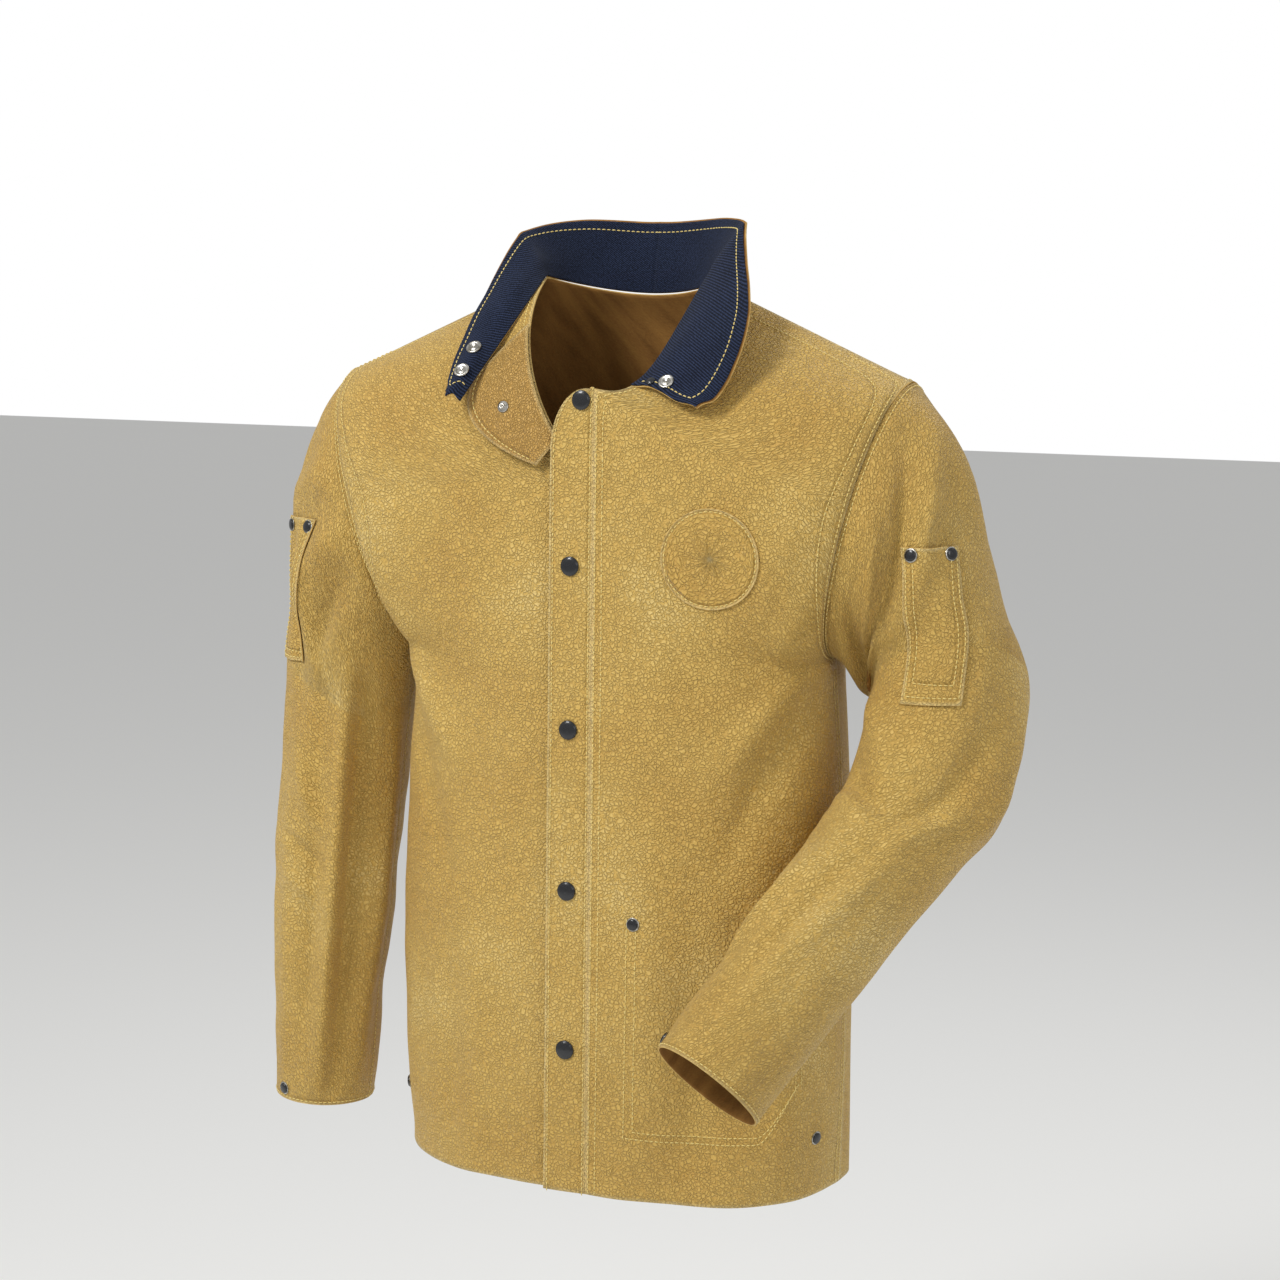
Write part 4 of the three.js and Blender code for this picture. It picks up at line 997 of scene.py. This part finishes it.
# ---- pencil pockets -----------------------------------------------------------------------
# A narrow open pocket of grain leather on the front of each upper sleeve, double stitched down
# its sides and across its bottom, with a rivet in each top corner.
POCKET_WIDTH, POCKET_HEIGHT, POCKET_TOP = 46, 118, -195
pencil_pockets = {}
for side_name, degrees in (("left", 36), ("right", 55)):
    upper = sleeves[side_name]
    share = degrees / 360

    def row_at(u, z, panel=upper):
        """The share along the sleeve where its line at girth share u is at this height."""
        low, high = 0.0, 1.0
        for _ in range(16):
            half = (low + high) / 2
            if on_panel(panel, u, half)[0].z > z:
                low = half
            else:
                high = half
        return low

    middle_row = row_at(share, POCKET_TOP - POCKET_HEIGHT / 2)
    width = (on_panel(upper, share + 0.01, middle_row)[0]
             - on_panel(upper, share, middle_row)[0]).length / 0.01
    half_width = POCKET_WIDTH / 2 / width
    turn = -1 if side_name == "left" else 1

    def pocket_point(u, v):
        around = share + half_width * (2 * u - 1) * turn
        top, bottom = row_at(around, POCKET_TOP), row_at(around, POCKET_TOP - POCKET_HEIGHT)
        place, normal = on_panel(upper, around, mix(bottom, top, v))
        pouch = 1.2 * math.sin(math.pi * u) * ease(v, 0.2, 1)
        return place + normal * (2.0 + pouch)

    rows = []
    for inset in (2.6, 7.6):
        across, up = inset / POCKET_WIDTH, inset / POCKET_HEIGHT
        path = [(across, mix(0.985, up, k / 50)) for k in range(51)]
        path += [(mix(across, 1 - across, k / 24), up) for k in range(1, 25)]
        path += [(1 - across, mix(up, 0.985, k / 50)) for k in range(1, 51)]
        rows.append(path)
    middle = sum((sleeves[side_name]["points"][40][i] for i in range(GIRTH)), Vector()) / GIRTH
    flat_grid = grid(pocket_point, 26, 60)
    soften(flat_grid, 10)
    panel = make_panel(f"{side_name}_pencil_pocket_leather", flat_grid, shell, 1.1,
                       away=lambda p, m=middle: Vector((p.x - m.x, p.y - m.y, 0)),
                       rows_of_stitches=rows)
    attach(panel["piece"], f"{side_name}_upper_arm")
    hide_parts(f"{side_name}_pencil_pocket")
    sew(f"{side_name}_upper", panel, rows)
    pencil_pockets[side_name] = panel

# ---- collar -------------------------------------------------------------------------------
# A spread collar, leather outside and navy cotton twill on the neck side, topstitched in yellow
# a centimetre from its edge. The left wing lies open and the right one stands a little.
LEFT_SPREAD = [(0, 12, 51), (8, 14, 48), (34, 5, 34), (65, -7, 13), (68, 0, -7), (59, -4, -27)]
RIGHT_SPREAD = [(0, 12, 51), (8, 14, 46), (28, 5, 24), (36, -4, -3), (32, 0, -15), (16, 4, -7)]
TWILL = 0.8


def woven_twill(name, deep, lit):
    """Navy cotton twill. Its diagonal wale is about 0.6 mm on the cloth and is drawn at 1.6 mm,
    as fine as it shows, with flecks where the pale core of the yarn has rubbed through."""
    material, tree, shader = new_finish(name)
    cut = add_node(tree, "ShaderNodeUVMap", uv_map="cut").outputs[0]
    turned = add_node(tree, "ShaderNodeMapping",
                      {"Vector": cut, "Rotation": (0, 0, math.radians(58))})
    wale = add_node(tree, "ShaderNodeTexWave",
                    {"Vector": turned.outputs[0], "Scale": 230, "Distortion": 1.2, "Detail": 2,
                     "Detail Scale": 3}, wave_type="BANDS", bands_direction="X")
    pick = add_node(tree, "ShaderNodeTexWave",
                    {"Vector": cut, "Scale": 260, "Distortion": 0.8}, bands_direction="Y")
    fleck = add_node(tree, "ShaderNodeTexNoise",
                     {"Vector": cut, "Scale": 700, "Detail": 3, "Roughness": 0.7})
    fade = add_node(tree, "ShaderNodeTexNoise", {"Vector": cut, "Scale": 30, "Detail": 4})
    weave = add_node(tree, "ShaderNodeMath", {0: pick.outputs[1], 1: 0.3, 2: wale.outputs[1]},
                     operation="MULTIPLY_ADD")
    tone = add_node(tree, "ShaderNodeMath", {0: weave.outputs[0], 1: 0.35, 2: fleck.outputs[0]},
                    operation="MULTIPLY_ADD")
    faded = add_node(tree, "ShaderNodeMath", {0: fade.outputs[0], 1: 0.2, 2: tone.outputs[0]},
                     operation="MULTIPLY_ADD")
    base = colour_steps(tree, faded.outputs[0], [(0.5, deep), (0.82, lit), (1.0, "#2C3650")])
    tree.links.new(base, shader.inputs["Base Color"])
    bump = add_node(tree, "ShaderNodeBump",
                    {"Height": weave.outputs[0], "Strength": 0.5, "Distance": 0.0004})
    tree.links.new(bump.outputs[0], shader.inputs["Normal"])
    shader.inputs["Roughness"].default_value = 0.95
    shader.inputs["Specular IOR Level"].default_value = 0.15
    shader.inputs["Sheen Weight"].default_value = 0.06
    shader.inputs["Sheen Roughness"].default_value = 0.5
    return material


navy_twill = woven_twill("woven_navy_cotton_twill", "#080A12", "#121827")


def collar_face(edge, spread, last):
    reach_points = [Vector(point) for point in spread]

    def face(s, h):
        if s <= 0.36:
            seam = back_neck(s / 0.36)
        else:
            t = (s - 0.36) / 0.64
            seam = neckline(edge, mix(1, last, t))
            if edge["side"] < 0:
                seam += Vector((42, -37, -44)) * t * t
        place = seam + through(reach_points, s) * h + Vector((0, 0, mix(1.5, 5.5, ease(h, 0, 0.3))))
        place.z += 5 * math.sin(math.pi * h) * ease(s, 0.3, 0.6)
        place.y -= 12 * ease(s, 0.45, 0.8) * h
        return Vector((place.x * edge["side"], place.y, place.z))
    return face


def rounded_tip(face, corner):
    """Rounds the free corner of a wing."""
    def tip(u, v):
        s, h = u, v
        near_end, near_edge = ease(u, 1 - corner, 1), ease(v, 0.55, 1)
        s -= corner * 0.35 * near_end * near_edge**2
        h -= 0.1 * near_end * near_edge
        return face(s, h)
    return tip


collars = {}
for side_name, edge, spread, last in (("left", left_edge, LEFT_SPREAD, 0.3),
                                      ("right", right_edge, RIGHT_SPREAD, 0.62)):
    face = rounded_tip(collar_face(edge, spread, last), 0.12)
    side = edge["side"]
    columns, rows = 90, 26
    base = grid(face, columns, rows)
    soften(base, 4)
    facing_neck = grid_normals(base, False, lambda p: Vector((-p.x, -p.y - 20, 0)))
    j, i = rows // 2, 6
    if facing_neck[j][i].dot(Vector((0, -1, 0.1))) < 0:
        facing_neck = [[-n for n in line] for line in facing_neck]
    ripple = [[0.8 * waver(base[j][i], 26, 61) for i in range(columns + 1)] for j in range(rows + 1)]
    spots = [[base[j][i] + facing_neck[j][i] * (ripple[j][i] * ease(j / rows, 0, 0.3))
              for i in range(columns + 1)] for j in range(rows + 1)]
    lining_row = [(0.004 + 0.956 * k / 150, 0.86) for k in range(151)]
    lining_row += [(0.96, mix(0.86, 0.1, k / 40)) for k in range(1, 41)]
    reference = facing_neck[rows // 2][columns // 3]
    lining = make_panel(f"{side_name}_collar_twill", [[p.copy() for p in line] for line in spots],
                        (navy_twill, navy_twill, navy_twill), TWILL,
                        away=lambda p, n=reference: n, rows_of_stitches=[lining_row])
    outside = [[spots[j][i] - facing_neck[j][i] * (TWILL + 0.5 + LEATHER)
                for i in range(columns + 1)] for j in range(rows + 1)]
    for j in range(rows + 1):
        for i in range(columns + 1):
            lip = 1.6 * ease(j / rows, 0.9, 1)
            outside[j][i] = outside[j][i] + (spots[j][i] - spots[max(j - 1, 0)][i]).normalized() * lip
    leather = make_panel(f"{side_name}_collar_leather", outside, shell, LEATHER,
                         away=lambda p, n=reference: -n,
                         rows_of_stitches=[[(0.004 + 0.95 * k / 150, 0.86) for k in range(151)]])
    collars[side_name] = {"lining": lining, "leather": leather}
    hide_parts(f"{side_name}_collar_wing_lining")
    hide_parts(f"{side_name}_collar_wing")
    sew(f"{side_name}_collar", lining, [lining_row])
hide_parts("collar_back_lining")
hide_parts("collar_back")


def collar_motion(piece, side_name):
    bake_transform(piece)


for side_name, pieces in collars.items():
    for panel in pieces.values():
        collar_motion(panel["piece"], side_name)

# ---- snaps --------------------------------------------------------------------------------
# Five ring snaps, 127 mm apart: black enamelled caps 15 mm across on the placket, pressed
# nickel sockets behind them, and nickel studs on the right front and on the lapel.


def black_enamel(name):
    """Stove enamel on a pressed brass cap: smooth and glossy, with faint orange peel, and fine
    paler grey flecks spread at random where it has worn thin."""
    material, tree, shader = new_finish(name)
    place = add_node(tree, "ShaderNodeTexCoord").outputs["Object"]
    peel = add_node(tree, "ShaderNodeTexNoise", {"Vector": place, "Scale": 700, "Detail": 2})
    dust = add_node(tree, "ShaderNodeTexNoise",
                    {"Vector": place, "Scale": 2600, "Detail": 4, "Roughness": 0.7})
    base = colour_steps(tree, dust.outputs[0], [(0.45, "#101114"), (0.68, "#1E2024"),
                                                (0.85, "#4A4C50")])
    tree.links.new(base, shader.inputs["Base Color"])
    gloss = add_node(tree, "ShaderNodeMapRange",
                     {"Value": dust.outputs[0], "From Min": 0.35, "From Max": 0.75,
                      "To Min": 0.16, "To Max": 0.42})
    tree.links.new(gloss.outputs[0], shader.inputs["Roughness"])
    bump = add_node(tree, "ShaderNodeBump",
                    {"Height": peel.outputs[0], "Strength": 0.15, "Distance": 0.0002})
    tree.links.new(bump.outputs[0], shader.inputs["Normal"])
    shader.inputs["Coat Weight"].default_value = 0.35
    shader.inputs["Coat Roughness"].default_value = 0.12
    return material


def pressed_nickel(name):
    """Barrel-polished nickel plate: bright, with fine tumbling scratches and warm tarnish."""
    material, tree, shader = new_finish(name)
    place = add_node(tree, "ShaderNodeTexCoord").outputs["Object"]
    scratch = add_node(tree, "ShaderNodeTexNoise",
                       {"Vector": place, "Scale": 1500, "Detail": 5, "Roughness": 0.75})
    tarnish = add_node(tree, "ShaderNodeTexNoise", {"Vector": place, "Scale": 320, "Detail": 3})
    base = colour_steps(tree, tarnish.outputs[0], [(0.35, "#8F8A7E"), (0.55, "#C3C0B8"),
                                                   (0.8, "#DAD8D2")])
    tree.links.new(base, shader.inputs["Base Color"])
    gloss = add_node(tree, "ShaderNodeMapRange",
                     {"Value": scratch.outputs[0], "To Min": 0.14, "To Max": 0.42})
    tree.links.new(gloss.outputs[0], shader.inputs["Roughness"])
    bump = add_node(tree, "ShaderNodeBump",
                    {"Height": scratch.outputs[0], "Strength": 0.2, "Distance": 0.0002})
    tree.links.new(bump.outputs[0], shader.inputs["Normal"])
    shader.inputs["Metallic"].default_value = 1
    return material


enamel, nickel = black_enamel("stoved_black_enamel"), pressed_nickel("barrel_polished_nickel")


def turned_piece(name, profile, seat, normal, finish, body, slot, *nodes, sides=40):
    """A fastener turned from (radius, height) points, standing on a seat."""
    level = normal.normalized()
    across = level.orthogonal().normalized()
    other = level.cross(across)
    places, faces = [], []
    for radius, height in profile:
        for k in range(sides):
            angle = 2 * math.pi * k / sides
            out = across * math.cos(angle) + other * math.sin(angle)
            places.append(metres(seat + level * height + out * max(radius, 0.01)))
    for j in range(len(profile) - 1):
        for k in range(sides):
            m = (k + 1) % sides
            faces.append([j * sides + k, j * sides + m, (j + 1) * sides + m, (j + 1) * sides + k])
    faces.append(list(range(sides))[::-1])
    faces.append([(len(profile) - 1) * sides + k for k in range(sides)])
    mesh = bpy.data.meshes.new(name)
    mesh.from_pydata(places, [], faces)
    mesh.polygons.foreach_set("use_smooth", [True] * len(faces))
    mesh.materials.append(finish)
    piece = bpy.data.objects.new(name, mesh)
    bpy.context.scene.collection.objects.link(piece)
    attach(piece, body)
    if nodes:
        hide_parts(*nodes)
    return piece


def dome(radius, foot, height, steps=9):
    """A rolled rim that rises to a domed top, from the outside in."""
    rim = 0.12 * radius
    profile = [(radius * 0.6, foot), (radius - rim, foot)]
    profile += [(radius - rim + rim * math.sin(a), foot + rim - rim * math.cos(a))
                for a in (math.pi * k / 10 for k in range(2, 10))]
    top = foot + 2 * rim
    profile += [(radius * 0.86 * math.cos(b), top - 0.12 + (height - top) * math.sin(b))
                for b in (math.pi / 2 * k / steps for k in range(steps))]
    profile.append((0.02, height))
    return profile


CAP_RADIUS, CAP_HEIGHT = 7.6, 3.4
placket_slope = Vector((0, -1, (HEM_FRONT - CHEST_FRONT) / (PLACKET_TOP - hem_front))).normalized()
FACING_BACK = LEATHER + 0.3 + 1.1


def middle_of(node):
    low, high = box_mm(node)
    return (low + high) / 2


for number in range(1, 6):
    z = middle_of(f"snap_cap_{number}").z
    seat = Vector((middle_of(f"snap_cap_{number}").x, front_depth(z), z))
    turned_piece(f"snap_cap_{number}_enamelled", dome(CAP_RADIUS, 0.45, CAP_HEIGHT), seat,
                 placket_slope, enamel, "front_placket", "black_cap", f"snap_cap_{number}")
    socket = [(2.9, -FACING_BACK - 2.5), (4.6, -FACING_BACK - 2.5), (5.3, -FACING_BACK - 2.2),
              (5.6, -FACING_BACK - 1.6), (5.6, -FACING_BACK - 0.5), (5.2, -FACING_BACK - 0.3),
              (2.9, -FACING_BACK - 0.3), (2.7, -FACING_BACK - 1.2), (2.9, -FACING_BACK - 2.3)]
    turned_piece(f"snap_socket_{number}_pressed", socket, seat, placket_slope, nickel,
                 "front_placket", "nickel", f"snap_socket_{number}")
    if number < 5:
        face_in = FACING_BACK + 0.3
        back_in = FACING_BACK + 0.3 + 2.2 + 0.3 + 0.7
        tail = back_in + 0.3 + LEATHER + 0.6 + 1.1 + 0.7
        stud = [(0.02, -face_in - 0.3), (1.8, -face_in - 0.4), (2.5, -face_in - 0.9),
                (2.6, -face_in - 1.3), (2.1, -back_in + 0.9), (4.2, -back_in + 0.7),
                (4.6, -back_in + 0.3), (4.4, -back_in), (1.9, -back_in), (1.9, -tail),
                (4.5, -tail), (4.6, -tail - 0.4), (4.2, -tail - 0.7), (0.02, -tail - 0.7)]
        turned_piece(f"snap_stud_{number}_turned", stud, seat, placket_slope, nickel, "torso",
                     "nickel", f"snap_stud_{number}")

lapel_place, lapel_normal = on_panel(lapel, 0.5, 0.45)
open_stud = [(4.4, 0.05), (4.7, 0.5), (4.2, 1.0), (2.4, 1.15), (1.9, 1.5), (2.1, 2.2), (2.5, 2.6),
             (2.2, 3.1), (1.2, 3.3), (1.0, 2.9), (0.02, 2.7)]
turned_piece("snap_stud_5_turned", open_stud, lapel_place, lapel_normal, nickel, "torso", "nickel",
             "snap_stud_5")

# ---- rivets -------------------------------------------------------------------------------
# Tubular rivets with black enamelled heads hold the points that take strain: the corners of
# the pencil pockets and the inside pocket, the ends of the cuffs and the foot of each side.


def rivet(name, panel, u, v, body, *nodes, radius=4.6, height=2.4):
    seat, normal = on_panel(panel, u, v)
    washer = [(radius * 0.5, 0.1), (radius * 1.16, 0.1), (radius * 1.22, 0.35), (radius * 1.1, 0.6),
              (radius * 0.5, 0.65)]
    turned_piece(f"{name}_washer", washer, seat, normal, nickel, body, "nickel")
    return turned_piece(name, dome(radius, 0.5, height), seat, normal, enamel, body, "black_cap",
                        *nodes)


for side_name, panel in pencil_pockets.items():
    for place, u in (("inner", 7 / 46), ("outer", 1 - 7 / 46)):
        rivet(f"{side_name}_pencil_rivet_{place}_head", panel, u, 1 - 7 / 118,
              f"{side_name}_upper_arm", f"{side_name}_pencil_rivet_{place}")
for side_name, degrees in (("left", 112), ("right", 68)):
    rivet(f"{side_name}_cuff_rivet_head", sleeves[side_name]["lower"], degrees / 360, 0.955,
          f"{side_name}_forearm", f"{side_name}_cuff_rivet")
for side_name, panel, face in (("left", fronts["left_front"], left_face),
                               ("right", fronts["right_front"], right_face)):
    x = 181 if side_name == "left" else -181
    rivet(f"{side_name}_hem_rivet_head", panel, *share_of(face, x, -668), "torso",
          f"{side_name}_hem_rivet")
for place, u in (("inner", 0.053), ("outer", 0.905)):
    rivet(f"pocket_rivet_{place}_head", fronts["left_front"], *pocket_spot(u, 0.96), "torso",
          f"pocket_rivet_{place}")

ring = [(2.6, 0.1), (6.0, 0.1), (6.3, 0.6), (5.8, 1.2), (4.6, 1.35), (3.9, 0.9), (3.1, 0.8),
        (2.6, 1.4), (2.0, 1.5), (1.4, 0.9), (0.02, 0.8)]


def wing_share(share):
    return mix(0.465, 1, share)


seat, normal = on_panel(collars["left"]["lining"], wing_share(0.88), 0.42)
turned_piece("collar_ring_snap_pressed", ring, seat, normal, nickel, "left_collar", "nickel",
             "collar_ring_snap")
seat, normal = on_panel(collars["left"]["lining"], wing_share(0.93), 0.24)
turned_piece("collar_stud_enamelled", dome(3.7, 0.3, 2.2), seat, normal, enamel, "left_collar",
             "black_cap", "collar_stud")
for place, share in (("upper", 0.66), ("lower", 0.84)):
    seat, normal = on_panel(collars["right"]["lining"], wing_share(share), 0.5)
    turned_piece(f"collar_eyelet_{place}_pressed", ring, seat, normal, nickel, "right_collar",
                 "nickel", f"collar_eyelet_{place}")

# ---- thread -------------------------------------------------------------------------------
# Yellow aramid sewing thread, 4 mm to the stitch. Each stitch is its own short arch of thread,
# sunk at both ends where the needle pulled it into the leather.
STITCH_PITCH, STITCH_LENGTH, THREAD_RADIUS = 4.0, 3.1, 0.5


def aramid_thread(name):
    """Spun yellow aramid: a matt, slightly furry three-ply twist."""
    material, tree, shader = new_finish(name)
    place = add_node(tree, "ShaderNodeTexCoord").outputs["Object"]
    twist = add_node(tree, "ShaderNodeTexNoise",
                     {"Vector": place, "Scale": 1600, "Detail": 3, "Roughness": 0.7})
    base = colour_steps(tree, twist.outputs[0], [(0.35, "#C9A94F"), (0.6, "#E9D68C"),
                                                 (0.8, "#F3E6B0")])
    tree.links.new(base, shader.inputs["Base Color"])
    bump = add_node(tree, "ShaderNodeBump",
                    {"Height": twist.outputs[0], "Strength": 0.4, "Distance": 0.0003})
    tree.links.new(bump.outputs[0], shader.inputs["Normal"])
    shader.inputs["Roughness"].default_value = 0.75
    shader.inputs["Sheen Weight"].default_value = 0.2
    return material


thread_finish = aramid_thread("spun_yellow_aramid_thread")


def stitch_seats(line):
    """Where each stitch of a line sits: its middle, its direction and its leather's normal."""
    seats, carried = [], 0.0
    for (here, normal), (there, _) in zip(line, line[1:]):
        step = there - here
        length = step.length
        if length < 1e-6:
            continue
        while carried < length:
            seats.append((here + step * (carried / length), step / length, normal))
            carried += STITCH_PITCH
        carried -= length
    return seats


def sewn_thread(name, lines):
    places, faces = [], []
    for line in lines:
        for middle, along, normal in stitch_seats(line):
            side = normal.cross(along).normalized()
            first = len(places)
            for t in (-1, -0.62, 0, 0.62, 1):
                arch = 0.42 * (1 - t * t) - 0.3 * t * t
                thick = THREAD_RADIUS * (1 - 0.45 * t**4)
                centre = middle + along * (t * STITCH_LENGTH / 2) + normal * arch
                for k in range(5):
                    angle = 2 * math.pi * k / 5
                    places.append(metres(centre + side * (thick * math.cos(angle))
                                         + normal * (thick * 0.8 * math.sin(angle))))
            for j in range(4):
                for k in range(5):
                    m = (k + 1) % 5
                    faces.append([first + j * 5 + k, first + j * 5 + m,
                                  first + (j + 1) * 5 + m, first + (j + 1) * 5 + k])
            faces.append([first + k for k in range(5)][::-1])
            faces.append([first + 20 + k for k in range(5)])
    mesh = bpy.data.meshes.new(name)
    mesh.from_pydata(places, [], faces)
    mesh.polygons.foreach_set("use_smooth", [True] * len(faces))
    mesh.materials.append(thread_finish)
    piece = bpy.data.objects.new(name, mesh)
    bpy.context.scene.collection.objects.link(piece)
    return piece


for name, lines in sewing.items():
    thread = sewn_thread(f"{name}_sewing", lines)
    side_name, _, part = name.partition("_")
    if name == "torso":
        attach(thread, "torso")
    elif name == "placket":
        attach(thread, "front_placket")
    elif part == "collar":
        collar_motion(thread, side_name)
    else:
        sleeve_motion(thread, side_name, part)

# ---- room ---------------------------------------------------------------------------------
# A plain pale floor well below the hem, and broad soft lights: a high key from the front left,
# a weaker fill from the right, a rim from behind and a pale surround.
floor_material, _, floor_shader = new_finish("matt_painted_floor")
floor_shader.inputs["Base Color"].default_value = linear("#F4F4F2")
floor_shader.inputs["Roughness"].default_value = 0.85
floor_mesh = bpy.data.meshes.new("floor")
FLOOR_Z, FLOOR_REACH = cad_bounds[0].z - 0.5, 12
floor_mesh.from_pydata([(x * FLOOR_REACH, y * FLOOR_REACH, FLOOR_Z)
                        for x, y in ((-1, -1), (1, -1), (1, 1), (-1, 1))], [], [(0, 1, 2, 3)])
floor_mesh.materials.append(floor_material)
floor = bpy.data.objects.new("floor", floor_mesh)
bpy.context.scene.collection.objects.link(floor)

world = bpy.data.worlds.new("pale_surround")
bpy.context.scene.world = world
world.use_nodes = True
surround = world.node_tree.nodes["Background"]
surround.inputs["Color"].default_value = (1, 1, 1, 1)
seen = add_node(world.node_tree, "ShaderNodeLightPath").outputs["Is Camera Ray"]
glow = add_node(world.node_tree, "ShaderNodeMapRange", {"Value": seen, "To Min": 0.5, "To Max": 1.0})
world.node_tree.links.new(glow.outputs[0], surround.inputs["Strength"])


def soft_light(name, place, size, watts):
    light = bpy.data.lights.new(name, "AREA")
    light.shape, light.size, light.energy = "DISK", size, watts
    holder = bpy.data.objects.new(name, light)
    bpy.context.scene.collection.objects.link(holder)
    holder.location = place
    holder.rotation_euler = (Vector(place) - Vector((0, 0, -0.35))).to_track_quat("Z", "Y").to_euler()


soft_light("key", (-1.1, -1.9, 1.7), 0.9, 62)
soft_light("fill", (2.4, -1.6, 0.9), 1.6, 16)
soft_light("rim", (0.8, 2.0, 1.6), 1.4, 16)
